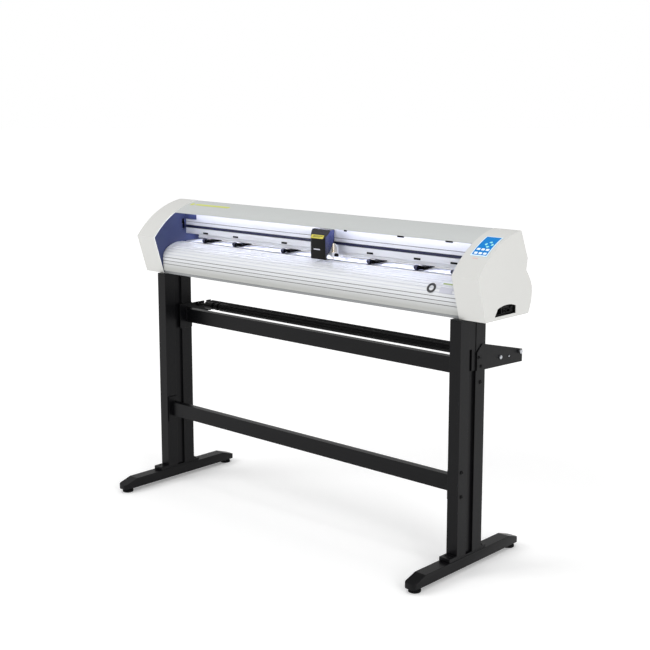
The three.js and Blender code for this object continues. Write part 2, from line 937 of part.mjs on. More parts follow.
// The rear platen's outer path, or its inner path when shrunk by the wall.
function rearPath(shrink) {
  const { bendStart, bendY, bendZ, bulgeY, bulgeZ, lowBendZ, footY } = rearApron;
  const start = [bendStart, -shrink];
  const bulge = [bulgeY - shrink, bulgeZ];
  const below = [bulgeY - shrink, lowBendZ];
  return [
    ...curve(start, [bendY - shrink, bendZ - shrink], bulge, 8),
    ...curve(bulge, below, [footY - shrink, apron.bottom], 4).slice(1),
  ];
}

function rearPlaten() {
  const edge = shaft.y + slotHalf;
  const outline = [
    [edge, -shaft.slotLip],
    [edge, 0],
    ...rearPath(0),
    ...rearPath(sheet).reverse(),
    [edge + sheet, -sheet],
    [edge + sheet, -shaft.slotLip],
  ];
  return alongX(outline, -skinEnd, skinEnd);
}

function cuttingStrip() {
  const half = strip.width / 2;
  const top = -strip.below;
  const outline = rectangle(strip.y - half, top - strip.thickness, strip.y + half, top);
  return alongX(outline, -skinEnd, skinEnd);
}

function chassisTray() {
  const front = apron.footY + sheet + gap;
  const rear = rearApron.footY - sheet - gap;
  const floor = bodyBottom + sheet;
  const outline = [
    [front, bodyBottom],
    [rear, bodyBottom],
    [rear, trayLipTop],
    [rear - sheet, trayLipTop],
    [rear - sheet, floor],
    [front + sheet, floor],
    [front + sheet, trayLipTop],
    [front, trayLipTop],
  ];
  return alongX(outline, -skinEnd, skinEnd);
}

function topCover() {
  const slope = hoodCurve(hoodStart, hoodEnd, 8);
  const topRear = [hood.rearY, hood.rearZ];
  const shoulder = [capRear.shoulderY, capRear.shoulderZ];
  const corner = roundedCorner(slope.at(-1), topRear, shoulder, capCornerReach, 3).slice(1);
  const path = [...slope, ...corner, shoulder, [capRear.notchY, capRear.notchZ + coverFoot]];
  const sunk = band(path, -coverDrop).slice(path.length).reverse();
  return alongX(band(sunk, -sheet), -skinEnd, skinEnd);
}

for (const [label, side] of sides) place(head, label + "_end_cap", endCap(side), lightShell);
place(head, "chassis_tray", chassisTray(), greyCover);
place(head, "front_platen", frontPlaten(), aluminium);
place(head, "rear_platen", rearPlaten(), aluminium);
place(head, "cutting_strip", cuttingStrip(), creamStrip);
place(head, "top_cover", topCover(), greyCover);

function keypadFilm() {
  const surface = hoodCurve(keypad.from, keypad.to, 10);
  const lifted = band(surface, gap).slice(surface.length).reverse();
  const left = halfOpening + keypad.fromOpening;
  return alongX(band(lifted, keypad.thickness), left, left + keypad.width);
}
place(head, "keypad_film", keypadFilm(), blueFilm);

// ---------------------------------------------------------------- head: rail and side plates

const pinchX = [
  ...pinch.fromLeft.map((distance) => distance - halfOpening),
  ...pinch.fromRight.map((distance) => halfOpening - distance),
];
const plateInner = halfOpening + sidePlates.inset;
const plateOuter = plateInner + sidePlates.thickness;

function railBeam() {
  const end = plateInner - gap;
  const { front, rear, wall } = beam;
  const outline = [
    [rear, beam.underside],
    [rear, beam.top],
    [front, beam.top],
    [front, beam.lineTop],
    [front + beam.lineDepth, beam.lineTop],
    [front + beam.lineDepth, beam.lineBottom],
    [front, beam.lineBottom],
    [front, beam.channelTop],
    [channelRear, beam.channelTop],
    [channelRear, beam.channelBottom],
    [front, beam.channelBottom],
    [front, beam.lipTop],
    [beam.lipFront, beam.lipTop - beam.lipSlope],
    [beam.lipFront, beam.bottom],
    [beam.lipFront + beam.lipThickness, beam.bottom],
    [beam.lipFront + beam.lipThickness, beam.underside],
  ];
  const bore = rectangle(front + 3 * wall, beam.channelTop + wall, rear - wall, beam.top - wall);
  const opening = Math.PI / 5;
  const socketInner = pinch.pivotRadius + runningGap;
  const socketOuter = socketInner + pinch.socketWall;
  const from = -Math.PI + opening;
  const to = Math.PI - opening;
  const socket = [
    ...arc(pinch.pivotY, pinch.pivotZ, socketOuter, from, to, 20),
    ...arc(pinch.pivotY, pinch.pivotZ, socketInner, to, from, 20),
  ];
  const neck = rectangle(rear - wall, pinch.pivotZ + socketInner + past, pinch.pivotY, beam.underside + wall);
  const slots = pinchX.map((x) => {
    const middle = x + pinch.pocketShift;
    const reach = pinch.pocketLength / 2;
    const low = [middle - reach, front - past, beam.slotZ - beam.slotHeight / 2];
    return block(low, [middle + reach, front + beam.slotDepth, beam.slotZ + beam.slotHeight / 2]);
  });
  const lipEnd = block(
    [-end - past, front - past, beam.bottom - past],
    [beam.lipShort - halfOpening, beam.lipFront + beam.lipThickness + past, beam.lipTop],
  );
  const rail = join(alongX(outline, -end, end, [bore]), alongX(neck, -end, end), alongX(socket, -end, end));
  return cut(rail, lipEnd, ...slots);
}

const beltWindow = rectangle(
  beam.front - beam.windowFront,
  beam.channelBottom,
  channelRear + beam.windowRear,
  beam.channelTop + beam.windowTop,
);

function bumperHoleOutline() {
  const { y, halfWidth, bottom, top } = bumperHole;
  return [
    ...arc(y, top - halfWidth, halfWidth, 0, Math.PI, 8),
    ...arc(y, bottom + halfWidth, halfWidth, Math.PI, 2 * Math.PI, 8),
  ];
}

function sidePlate(side) {
  const inner = side * plateInner;
  const outer = side * plateOuter;
  const shaftHole = circle(shaft.y, shaftZ, shaft.radius + runningGap);
  const holes = [beltWindow, bumperHoleOutline(), shaftHole];
  return alongX(plateShape, Math.min(inner, outer), Math.max(inner, outer), holes);
}

function leftSidePlate() {
  const reach = pulley.idlerShelf;
  const shelf = block(
    [-plateInner - past, beltCentreY - reach, shelfBottom],
    [-pulleyX - reach, beltCentreY + reach, shelfTop],
  );
  const pinTop = pulleyBottom + belt.width + pulley.pinProud;
  const pin = rodZ(motor.shaftRadius, shelfTop - past, pinTop, -pulleyX, beltCentreY, boltSides);
  const tab = block(
    [-plateInner - past, beam.front - gap - cornerTab.thickness, beam.top - cornerTab.drop],
    [-plateInner + cornerTab.length, beam.front - gap, beam.top - cornerTab.topDrop],
  );
  return join(sidePlate(-1), shelf, pin, tab);
}

const gearCentreDistance = (feedGear.module * (feedGear.gearTeeth + feedGear.pinionTeeth)) / 2;
const feedMotorZ = shaftZ - gearCentreDistance;

function rightSidePlate() {
  const half = motor.side / 2;
  const shelf = block(
    [plateInner + past, beltCentreY - half, shelfBottom],
    [pulleyX + half, beltCentreY + half, shelfTop],
  );
  const holeRadius = motor.shaftRadius + motor.shelfHoleClear;
  const shaftHole = rodZ(holeRadius, shelfBottom - past, shelfTop + past, pulleyX, beltCentreY, boltSides);
  const motorEnd = halfOpening + feedMotorStart + motor.length;
  const feedShelfTop = feedMotorZ - half - gap;
  const feedShelf = block(
    [plateInner + past, shaft.y - half, feedShelfTop - sheet],
    [motorEnd, shaft.y + half, feedShelfTop],
  );
  return cut(join(sidePlate(1), shelf, feedShelf), shaftHole);
}

function gritShaft() {
  const left = -plateOuter - shaft.leftProud;
  const right = halfOpening + feedMotorStart - shaft.motorClear;
  const rod = rodX(shaft.radius, left, right, shaft.y, shaftZ, barSides);
  const grips = pinchX.map((x) =>
    rodX(gritRadius, x - shaft.gritLength / 2, x + shaft.gritLength / 2, shaft.y, shaftZ, barSides),
  );
  return join(rod, ...grips);
}

place(head, "rail_beam", railBeam(), aluminium);
place(head, "left_side_plate", leftSidePlate(), navyPaint);
place(head, "right_side_plate", rightSidePlate(), navyPaint);
place(head, "grit_shaft", gritShaft(), steel);

// ---------------------------------------------------------------- head: pinch rollers

function pinchArm() {
  const slotHalf = pinch.wheelWidth / 2 + pinch.slotClear;
  const half = slotHalf + pinch.cheek;
  const { pivotY, pivotZ, pivotRadius, armBottom, armTop, armFront, cheekRadius, neckHalf } = pinch;
  const side = [
    [armFront, armBottom],
    [pivotY - pinch.kneeReach, armBottom + pinch.kneeRise],
    [pivotY - pinch.neckReach, pivotZ - neckHalf],
    [pivotY - pinch.neckRoot, pivotZ - neckHalf],
    [pivotY - pinch.neckRoot, pivotZ + neckHalf / 2],
    [pivotY - pinch.shoulderReach, armTop],
    [armFront, armTop],
  ];
  const cheekSide = [
    ...arc(shaft.y, wheelZ, cheekRadius, Math.PI / 2, (3 * Math.PI) / 2, 8),
    [armFront + pinch.cheekRoot, armBottom],
    [armFront + pinch.cheekRoot, armTop],
  ];
  const right = half + pinch.armExtra;
  const cheeks = alongX(cheekSide, -half, half);
  const slotReach = pinch.wheelRadius + pinch.slotDepthClear;
  const wheelSlot = block(
    [-slotHalf, shaft.y - slotReach, wheelZ - slotReach],
    [slotHalf, shaft.y + slotReach, wheelZ + slotReach],
  );
  const axleHole = rodX(pinch.axleRadius + runningGap, -half - past, half + past, shaft.y, wheelZ, pinSides);
  const hinge = rodX(pivotRadius, -half, right, pivotY, pivotZ, barSides);
  return cut(join(alongX(side, -half, right), cheeks, hinge), wheelSlot, axleHole);
}

function pinchWheel() {
  const halfWidth = pinch.wheelWidth / 2;
  const halfAxle = halfWidth + pinch.cheek;
  const outline = [
    [0, -halfAxle],
    [pinch.axleRadius, -halfAxle],
    [pinch.axleRadius, -halfWidth],
    [pinch.wheelRadius - pinch.wheelBevel, -halfWidth],
    [pinch.wheelRadius, -halfWidth + pinch.wheelBevel],
    [pinch.wheelRadius, halfWidth - pinch.wheelBevel],
    [pinch.wheelRadius - pinch.wheelBevel, halfWidth],
    [pinch.axleRadius, halfWidth],
    [pinch.axleRadius, halfAxle],
    [0, halfAxle],
  ];
  const wheel = new THREE.LatheGeometry(pathOf(outline), roundSides).rotateZ(-Math.PI / 2);
  return wheel.translate(0, shaft.y, wheelZ);
}

pinchX.forEach((x, i) => {
  const station = subgroup(head, x, 0, 0);
  place(station, "pinch_arm_" + (i + 1), pinchArm(), blackPlastic);
  place(station, "pinch_wheel_" + (i + 1), pinchWheel(), rubber);
});

// ---------------------------------------------------------------- head: carriage and tool

const carriageGroup = subgroup(head, carriage.x, 0, 0);

function carriageBody() {
  const { bodyLeft, bodyRight, bodyFront, bodyBottom: low, flange, flangeRear } = carriage;
  const { bracketBottom, bracketTop, bracketWidth, bracketGrip } = carriage;
  const { coverRear, coverHalf, coverWall, clampInset, clampMargin } = carriage;
  const rear = beam.front - gap - carriage.railClear;
  const flangeTop = beam.top + gap + flange;
  const plate = block([bodyLeft, bodyFront, low], [bodyRight, rear, flangeTop]);
  const hook = block([bodyLeft, bodyFront, beam.top + gap], [bodyRight, flangeRear, flangeTop]);
  const bracketLeft = -coverHalf + coverWall + gap;
  const bracket = block(
    [bracketLeft, coverRear - bracketGrip, bracketBottom],
    [bracketLeft + bracketWidth, bodyFront + past, bracketTop],
  );
  const beltFront = beltCentreY - beltOuter;
  const clamp = block(
    [bodyLeft + clampInset, rear - past, beam.channelBottom + clampMargin],
    [bodyRight - clampInset, beltFront - gap, beam.channelTop - clampMargin],
  );
  return join(plate, hook, bracket, clamp);
}

// The outside of the cover, seen from the side: the rear edge sweeps forward to the foot.
function coverSide() {
  const { coverFront, coverRear, coverBottom, slopeStart, slopeEndY, coverTop } = carriage;
  const { cutFoot, cutZ, cutTop, sweepInset, sweepDrop } = carriage;
  return [
    [coverFront, coverBottom],
    [cutFoot, coverBottom],
    ...curve([cutFoot, cutZ], [coverRear - sweepInset, cutTop - sweepDrop], [coverRear, cutTop], 6),
    [coverRear, coverTop],
    [slopeEndY, coverTop],
    [coverFront, slopeStart],
  ];
}

function coverHollow() {
  const { coverFront, coverRear, coverBottom, slopeStart, slopeEndY, coverTop, coverWall } = carriage;
  const rear = coverRear + past;
  return [
    [coverFront + coverWall, coverBottom - past],
    [rear, coverBottom - past],
    [rear, coverTop - coverWall],
    [slopeEndY + coverWall / 2, coverTop - coverWall],
    [coverFront + coverWall, slopeStart - coverWall / 2],
  ];
}

function coverForm(sideView, margin, rear) {
  const half = carriage.coverHalf - margin;
  const front = carriage.coverFront + margin;
  const radius = carriage.cornerRadius - margin;
  const quarter = Math.PI / 2;
  const plan = [
    [half, rear],
    [-half, rear],
    ...arc(-half + radius, front + radius, radius, 2 * quarter, 3 * quarter, 6),
    ...arc(half - radius, front + radius, radius, 3 * quarter, 4 * quarter, 6),
  ];
  const below = carriage.coverBottom - 2 * past;
  return common(alongZ(plan, below, carriage.coverTop + past), alongX(sideView, -half - past, half + past));
}

function carriageCover() {
  const outside = coverForm(coverSide(), 0, carriage.coverRear);
  return cut(outside, coverForm(coverHollow(), carriage.coverWall, carriage.coverRear + past));
}

function toolSlide() {
  const rear = carriage.bodyFront - gap;
  const front = rear - tool.plateThickness;
  const left = tool.x - tool.plateLeft;
  const right = tool.x + tool.plateRight;
  const corner = tool.plateCorner;
  const face = [
    [left, tool.plateBottom],
    [right, tool.plateBottom],
    ...arc(right - corner, tool.plateTop - corner, corner, 0, Math.PI / 2, 5),
    [left, tool.plateTop],
  ];
  const arm = block(
    [tool.x - tool.ringRadius, strip.y, tool.ringBottom],
    [tool.x + tool.ringRadius, front + past, tool.ringTop],
  );
  const ring = rodZ(tool.ringRadius, tool.ringBottom, tool.ringTop, tool.x, strip.y);
  const bore = rodZ(tool.radius + runningGap, tool.ringBottom - past, tool.ringTop + past, tool.x, strip.y);
  const screwEnd = tool.x + tool.screwHoleLength;
  const screwHole = rodX(tool.screwRadius + runningGap, tool.x, screwEnd, strip.y, tool.knobZ, pinSides);
  return cut(join(alongY(face, front, rear), arm, ring), bore, screwHole);
}

function bladeHolder() {
  const flangeBottom = tool.ringTop + gap;
  const collarTop = flangeBottom + tool.collarHeight;
  const collarRadius = tool.radius + tool.collarProud;
  const neckRadius = tool.radius - tool.neckDepth;
  const outline = [
    [0, tool.tip],
    ...holderTip.map(([radius, height]) => [radius, tool.tip + height]),
    [tool.radius, flangeBottom],
    [collarRadius, flangeBottom],
    [collarRadius, collarTop],
    [neckRadius, collarTop + tool.neckSlope],
    [neckRadius, tool.top - tool.headHeight - tool.neckDepth],
    [tool.radius, tool.top - tool.headHeight],
    [tool.radius, tool.top],
    [0, tool.top],
  ];
  const holder = new THREE.LatheGeometry(pathOf(outline), roundSides).rotateX(Math.PI / 2);
  return holder.translate(tool.x, strip.y, 0);
}

function clampKnob() {
  const screwStart = tool.x + tool.radius + 2 * runningGap;
  const knobStart = tool.x + tool.ringRadius + 2 * gap;
  const outline = [];
  for (let i = 0; i < 2 * tool.knobLobes; i++) {
    const radius = i % 2 ? tool.knobRadius - tool.lobeDepth : tool.knobRadius;
    const angle = (Math.PI * i) / tool.knobLobes;
    outline.push([strip.y + radius * Math.cos(angle), tool.knobZ + radius * Math.sin(angle)]);
  }
  const screw = rodX(tool.screwRadius, screwStart, knobStart + past, strip.y, tool.knobZ, pinSides);
  return join(screw, alongX(outline, knobStart, knobStart + tool.knobLength));
}

place(carriageGroup, "carriage_body", carriageBody(), blackPaint);
place(carriageGroup, "carriage_cover", carriageCover(), blackPlastic);
place(carriageGroup, "tool_slide", toolSlide(), aluminium);
place(carriageGroup, "blade_holder", bladeHolder(), brass);
place(carriageGroup, "clamp_knob", clampKnob(), blackPlastic);

// ---------------------------------------------------------------- head: drives

function driveBelt() {
  const loop = (radius) => [
    ...arc(pulleyX, beltCentreY, radius, -Math.PI / 2, Math.PI / 2, 12),
    ...arc(-pulleyX, beltCentreY, radius, Math.PI / 2, (3 * Math.PI) / 2, 12),
  ];
  const bottom = pulleyBottom + belt.rise;
  return alongZ(loop(beltOuter), bottom, bottom + belt.width, [loop(pulley.radius + gap)]);
}

function pulleyShape(stem) {
  const top = pulleyBottom + belt.width + pulley.proud;
  const toothed = [];
  for (let i = 0; i < 2 * pulley.teeth; i++) {
    const radius = i % 2 ? pulley.radius - pulley.toothDepth : pulley.radius;
    const angle = (Math.PI * i) / pulley.teeth;
    toothed.push([radius * Math.cos(angle), radius * Math.sin(angle)]);
  }
  if (stem) {
    const shaftFoot = shelfBottom - motor.shaftReach;
    const shaftRod = rodZ(motor.shaftRadius, shaftFoot, pulleyBottom + past, 0, 0, boltSides);
    return join(alongZ(toothed, pulleyBottom, top), shaftRod);
  }
  return alongZ(toothed, pulleyBottom, top, [circle(0, 0, motor.shaftRadius + runningGap, boltSides)]);
}

// A stepper motor with its shaft hole at the origin, face up, body below.
function motorShape() {
  const half = motor.side / 2;
  const c = motor.corner;
  const outline = [
    [half - c, -half],
    [half, c - half],
    [half, half - c],
    [half - c, half],
    [c - half, half],
    [-half, half - c],
    [-half, c - half],
    [c - half, -half],
  ];
  const hole = rodZ(motor.shaftRadius + runningGap, -motor.boreDepth, past, 0, 0, boltSides);
  return cut(alongZ(outline, -motor.length, 0), hole);
}

function gearOutline(teeth) {
  const step = (2 * Math.PI) / teeth;
  const pitchRadius = (feedGear.module * teeth) / 2;
  const tip = pitchRadius + feedGear.addendum * feedGear.module;
  const root = pitchRadius - feedGear.dedendum * feedGear.module;
  const rootHalf = feedGear.rootShare * step;
  const tipHalf = feedGear.tipShare * step;
  const points = [];
  for (let i = 0; i < teeth; i++) {
    const middle = i * step;
    points.push([root, middle - rootHalf]);
    points.push([tip, middle - tipHalf]);
    points.push([tip, middle + tipHalf]);
    points.push([root, middle + rootHalf]);
  }
  return points.map(([radius, angle]) => [radius * Math.cos(angle), radius * Math.sin(angle)]);
}

function shifted(outline, y, z) {
  return outline.map(([u, v]) => [u + y, v + z]);
}

function turned(outline, angle) {
  const cos = Math.cos(angle);
  const sin = Math.sin(angle);
  return outline.map(([u, v]) => [u * cos - v * sin, u * sin + v * cos]);
}

const gearStart = halfOpening + feedGear.start;
const gearEnd = gearStart + feedGear.width;
const feedMotorFace = halfOpening + feedMotorStart;

function shaftGear() {
  const teeth = turned(gearOutline(feedGear.gearTeeth), -Math.PI / 2);
  const bore = circle(shaft.y, shaftZ, shaft.radius + gap, barSides);
  return alongX(shifted(teeth, shaft.y, shaftZ), gearStart, gearEnd, [bore]);
}

function motorPinion() {
  const halfTooth = Math.PI / feedGear.pinionTeeth;
  const teeth = turned(gearOutline(feedGear.pinionTeeth), Math.PI / 2 + halfTooth);
  const gear = alongX(shifted(teeth, shaft.y, feedMotorZ), gearStart, gearEnd);
  const shaftEnd = feedMotorFace + motor.shaftReach;
  return join(gear, rodX(motor.shaftRadius, gearEnd - past, shaftEnd, shaft.y, feedMotorZ, boltSides));
}

place(head, "drive_belt", driveBelt(), rubber);
place(head, "idler_pulley", pulleyShape(false), steel).position.set(-pulleyX, beltCentreY, 0);
place(head, "drive_pulley", pulleyShape(true), steel).position.set(pulleyX, beltCentreY, 0);
const carriageMotor = place(head, "carriage_motor", motorShape(), blackPaint);
carriageMotor.position.set(pulleyX, beltCentreY, shelfBottom - gap);
const feedMotor = place(head, "feed_motor", motorShape(), blackPaint);
feedMotor.position.set(feedMotorFace, shaft.y, feedMotorZ);
feedMotor.rotation.y = -Math.PI / 2;
place(head, "shaft_gear", shaftGear(), steel);
place(head, "motor_pinion", motorPinion(), brass);

// ---------------------------------------------------------------- head: electrics

const trayFloor = bodyBottom + sheet + gap;

function controlBoard() {
  const right = skinEnd - board.fromEnd;
  const plate = block(
    [right - board.length, board.front, trayFloor],
    [right, board.rear, trayFloor + board.thickness],
  );
  const parts = boardParts.map(([from, to, front, rear, height]) =>
    block([right - from, front, trayFloor + past], [right - to, rear, trayFloor + height]),
  );
  return join(plate, ...parts);
}

function powerSupply() {
  const right = skinEnd - supply.fromEnd;
  const shell = block(
    [right - supply.length, supply.front, trayFloor],
    [right, supply.rear, trayFloor + supply.height],
  );
  const connector = block(
    [right - terminals.overlap, terminals.front, trayFloor + terminals.bottom],
    [right + terminals.proud, terminals.rear, trayFloor + terminals.top],
  );
  return join(shell, connector);
}

const panelOuter = halfOpening + capWidth - portPanel.inset;
const panelInner = panelOuter - portPanel.thickness;

function portPanelShape() {
  const { border } = portPanel;
  const outline = rectangle(
    portWindow.front - border,
    bodyBottom + sheet + gap,
    portWindow.rear + border,
    portWindow.topZ + border,
  );
  const switchHole = rectangle(
    rocker.y - rocker.width / 2 - rocker.sideClear,
    rocker.z - rocker.height / 2 - rocker.endClear,
    rocker.y + rocker.width / 2 + rocker.sideClear,
    rocker.z + rocker.height / 2 + rocker.endClear,
  );
  const plate = alongX(outline, panelInner, panelOuter, [switchHole]);
  const pieces = [];
  const pockets = [];
  for (const { y, z, width, height, wall, depth } of sockets) {
    const floor = panelInner - depth;
    const face = panelOuter + portPanel.socketProud;
    const room = (from, to, margin) => {
      const across = width / 2 + margin;
      const up = height / 2 + margin;
      return block([from, y - across, z - up], [to, y + across, z + up]);
    };
    pieces.push(room(floor - wall, face, wall));
    pockets.push(room(floor, face + past, 0));
  }
  return cut(join(plate, ...pieces), ...pockets);
}

function rockerShape() {
  const half = rocker.height / 2;
  const outline = [
    [-rocker.depth / 2, -half],
    [rocker.depth / 2, -half],
    [rocker.depth / 2 - rocker.dish, 0],
    [rocker.depth / 2, half],
    [-rocker.depth / 2, half],
  ];
  return alongY(outline, -rocker.width / 2, rocker.width / 2);
}

place(head, "control_board", controlBoard(), boardGreen);
place(head, "power_supply", powerSupply(), steel);
place(head, "port_panel", portPanelShape(), blackPlastic);
const rockerSwitch = place(head, "rocker_switch", rockerShape(), blackPlastic);
rockerSwitch.position.set(panelOuter - rocker.sunk, rocker.y, rocker.z);
rockerSwitch.rotation.y = THREE.MathUtils.degToRad(rocker.tiltDegrees);

export default machine;
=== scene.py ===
"""Looks of a roll-fed vinyl cutter on its floor stand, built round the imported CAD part.

Everything is in metres, in the part's own frame: +X to the operator's right, +Y to the rear, +Z up.
"""

import json
import math

import bmesh
import bpy
from mathutils import Matrix, Vector
from mathutils.bvhtree import BVHTree


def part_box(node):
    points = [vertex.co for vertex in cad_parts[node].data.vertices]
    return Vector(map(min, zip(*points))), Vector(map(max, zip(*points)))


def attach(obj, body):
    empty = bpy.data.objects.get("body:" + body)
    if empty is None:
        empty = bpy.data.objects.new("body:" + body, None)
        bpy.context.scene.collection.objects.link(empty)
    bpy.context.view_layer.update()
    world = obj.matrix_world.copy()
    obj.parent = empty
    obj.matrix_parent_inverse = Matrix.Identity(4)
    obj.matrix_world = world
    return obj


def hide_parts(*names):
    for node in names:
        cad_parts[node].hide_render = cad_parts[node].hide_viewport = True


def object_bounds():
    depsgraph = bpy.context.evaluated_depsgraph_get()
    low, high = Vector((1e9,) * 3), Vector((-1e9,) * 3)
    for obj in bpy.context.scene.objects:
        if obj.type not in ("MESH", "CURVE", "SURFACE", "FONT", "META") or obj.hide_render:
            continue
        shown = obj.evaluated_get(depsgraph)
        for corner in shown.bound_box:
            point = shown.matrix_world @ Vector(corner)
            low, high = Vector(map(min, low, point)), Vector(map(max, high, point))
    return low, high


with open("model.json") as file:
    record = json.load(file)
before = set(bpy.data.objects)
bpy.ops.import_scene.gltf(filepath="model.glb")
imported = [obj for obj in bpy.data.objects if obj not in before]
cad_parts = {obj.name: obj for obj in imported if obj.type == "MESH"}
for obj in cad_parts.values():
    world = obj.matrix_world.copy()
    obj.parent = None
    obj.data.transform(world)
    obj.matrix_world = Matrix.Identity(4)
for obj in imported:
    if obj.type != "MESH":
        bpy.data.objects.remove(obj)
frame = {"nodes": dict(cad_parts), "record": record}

cad_low, cad_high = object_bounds()

MM = 0.001
# How far outside the part a search line starts.
OUTSIDE = 100 * MM
# Shares of a normal along an axis: a face that looks along it, and one that doesn't.
ALONG, ACROSS = 0.9, 0.1
BODY_OF = {node: body for body, nodes in frame["record"]["behaviour"]["bodies"].items() for node in nodes}
ROOT = BODY_OF["rail_beam"]
SIDES = (("left", -1), ("right", 1))

PLATEN_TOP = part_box("front_platen")[1].z
BEAM_LOW, BEAM_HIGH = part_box("rail_beam")


def middle_of(node):
    """The middle of a CAD node's box."""
    low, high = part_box(node)
    return (low + high) / 2


PINCH_COUNT = 6
PINCH_X = [middle_of(f"pinch_wheel_{i}").x for i in range(1, PINCH_COUNT + 1)]

# ---------------------------------------------------------------- materials


def linear(hexadecimal):
    """A screen colour as the linear numbers that a shader takes."""
    parts = [int(hexadecimal[i : i + 2], 16) / 255 for i in (0, 2, 4)]
    return [p / 12.92 if p <= 0.04045 else ((p + 0.055) / 1.055) ** 2.4 for p in parts] + [1.0]


def ranged(tree, value, source, target):
    """Carries a node's value from the source range to the target range."""
    made = tree.nodes.new("ShaderNodeMapRange")
    for end, number in zip(("From Min", "From Max", "To Min", "To Max"), (*source, *target)):
        made.inputs[end].default_value = number
    tree.links.new(value, made.inputs["Value"])
    return made.outputs["Result"]


def noise(tree, place, scale, detail):
    """Noise at a place."""
    made = tree.nodes.new("ShaderNodeTexNoise")
    made.inputs["Scale"].default_value = scale
    made.inputs["Detail"].default_value = detail
    tree.links.new(place, made.inputs["Vector"])
    return made.outputs["Fac"]


def blended(tree, share, first, second):
    """Two colours mixed by a share. The second one may be another node's output."""
    made = tree.nodes.new("ShaderNodeMix")
    made.data_type = "RGBA"
    made.inputs["A"].default_value = first
    if isinstance(second, bpy.types.NodeSocket):
        tree.links.new(second, made.inputs["B"])
    else:
        made.inputs["B"].default_value = second
    tree.links.new(share, made.inputs["Factor"])
    return made.outputs["Result"]


CLOUD_SCALE, CLOUD_DETAIL = 9, 5
GRAIN_DETAIL = 3
GRAIN_RANGE = (0.3, 0.7)
LEAST_ROUGHNESS = 0.02
RELIEF_DEPTH = 0.4 * MM


def surface(name, colour, roughness, metallic=0.0, *, tint=0.06, grain=(1, 1, 1), grain_scale=900,
            bump=0.02, rough_spread=0.06, specular=0.5, glow=None, painted_shade=None):
    """A material with clouded colour, uneven gloss and a fine grain in the surface.

    With glow, (colour, strength), it also gives light. With a painted shade, (colour, from, to), it has that
    colour up to the first height and its own from the second; this is shade painted by height.
    """
    made = bpy.data.materials.new(name)
    made.use_nodes = True
    tree = made.node_tree
    shader = tree.nodes["Principled BSDF"]
    shader.inputs["Metallic"].default_value = metallic
    shader.inputs["Specular IOR Level"].default_value = specular
    place = tree.nodes.new("ShaderNodeTexCoord").outputs["Object"]

    base = linear(colour)[:3]
    darker = [part * (1 - tint) for part in base] + [1]
    lighter = [min(1, part * (1 + tint)) for part in base] + [1]
    shown = blended(tree, noise(tree, place, CLOUD_SCALE, CLOUD_DETAIL), darker, lighter)
    # Painted shade: below the given heights the colour turns to the shade colour.
    if painted_shade:
        other, lower, upper = painted_shade
        height = tree.nodes.new("ShaderNodeSeparateXYZ")
        tree.links.new(place, height.inputs["Vector"])
        share = ranged(tree, height.outputs["Z"], (lower, upper), (0, 1))
        shown = blended(tree, share, linear(other), shown)
    tree.links.new(shown, shader.inputs["Base Color"])

    stretch = tree.nodes.new("ShaderNodeMapping")
    stretch.inputs["Scale"].default_value = grain
    tree.links.new(place, stretch.inputs["Vector"])
    fine = noise(tree, stretch.outputs["Vector"], grain_scale, GRAIN_DETAIL)
    spread = (max(LEAST_ROUGHNESS, roughness - rough_spread), min(1.0, roughness + rough_spread))
    tree.links.new(ranged(tree, fine, GRAIN_RANGE, spread), shader.inputs["Roughness"])

    relief = tree.nodes.new("ShaderNodeBump")
    relief.inputs["Strength"].default_value = bump
    relief.inputs["Distance"].default_value = RELIEF_DEPTH
    tree.links.new(fine, relief.inputs["Height"])
    tree.links.new(relief.outputs["Normal"], shader.inputs["Normal"])

    if glow:
        shader.inputs["Emission Color"].default_value = linear(glow[0])
        shader.inputs["Emission Strength"].default_value = glow[1]
    return made


# Painted shade: the apron turns darker grey towards its lower edge.
APRON_PAINTED_SHADE = ("AEAFAC", PLATEN_TOP - 95 * MM, PLATEN_TOP - 60 * MM)
# Painted shade: the carriage's navy side turns near black towards its foot.
CARRIAGE_PAINTED_SHADE = ("0C0C14", PLATEN_TOP + 18 * MM, PLATEN_TOP + 100 * MM)

BRUSHED = (0.02, 1, 1)
stand_black = surface("stand_black", "09090B", 0.34, tint=0.2, grain_scale=1400, bump=0.16, specular=0.15)
moulded_black = surface("moulded_black", "040405", 0.5, grain_scale=1800, bump=0.12, specular=0.18)
arm_black = surface("arm_black", "020203", 0.8, grain_scale=1200, bump=0.15, specular=0.05)
soft_black = surface("soft_black", "0B0B0D", 0.75, grain_scale=1200, bump=0.2, specular=0.15)
shell_grey = surface("shell_grey", "CBCBC8", 0.4, tint=0.012, grain_scale=2200, bump=0.05)
# Painted highlight: the caps' inner rim is painted near white where its edge catches the light.
rim_painted_highlight = surface("rim_painted_highlight", "F4F4F2", 0.3, tint=0.01, grain_scale=2200, bump=0.02)
cover_grey = surface("cover_grey", "BCBFBE", 0.36, tint=0.012, grain_scale=2600, bump=0.05)
tray_grey = surface("tray_grey", "8C8E8F", 0.5, 0.3, grain_scale=1500, bump=0.06)
satin_aluminium = surface("satin_aluminium", "D0D2D8", 0.36, 0.25, tint=0.015, grain=BRUSHED,
                          grain_scale=1600, bump=0.04, rough_spread=0.03)
# Painted shade on the apron's lower part, darker towards the bottom.
apron_silver = surface("apron_silver", "D3D5D8", 0.46, 0.1, tint=0.015, grain=BRUSHED, grain_scale=1600,
                       bump=0.04, rough_spread=0.03, painted_shade=APRON_PAINTED_SHADE)
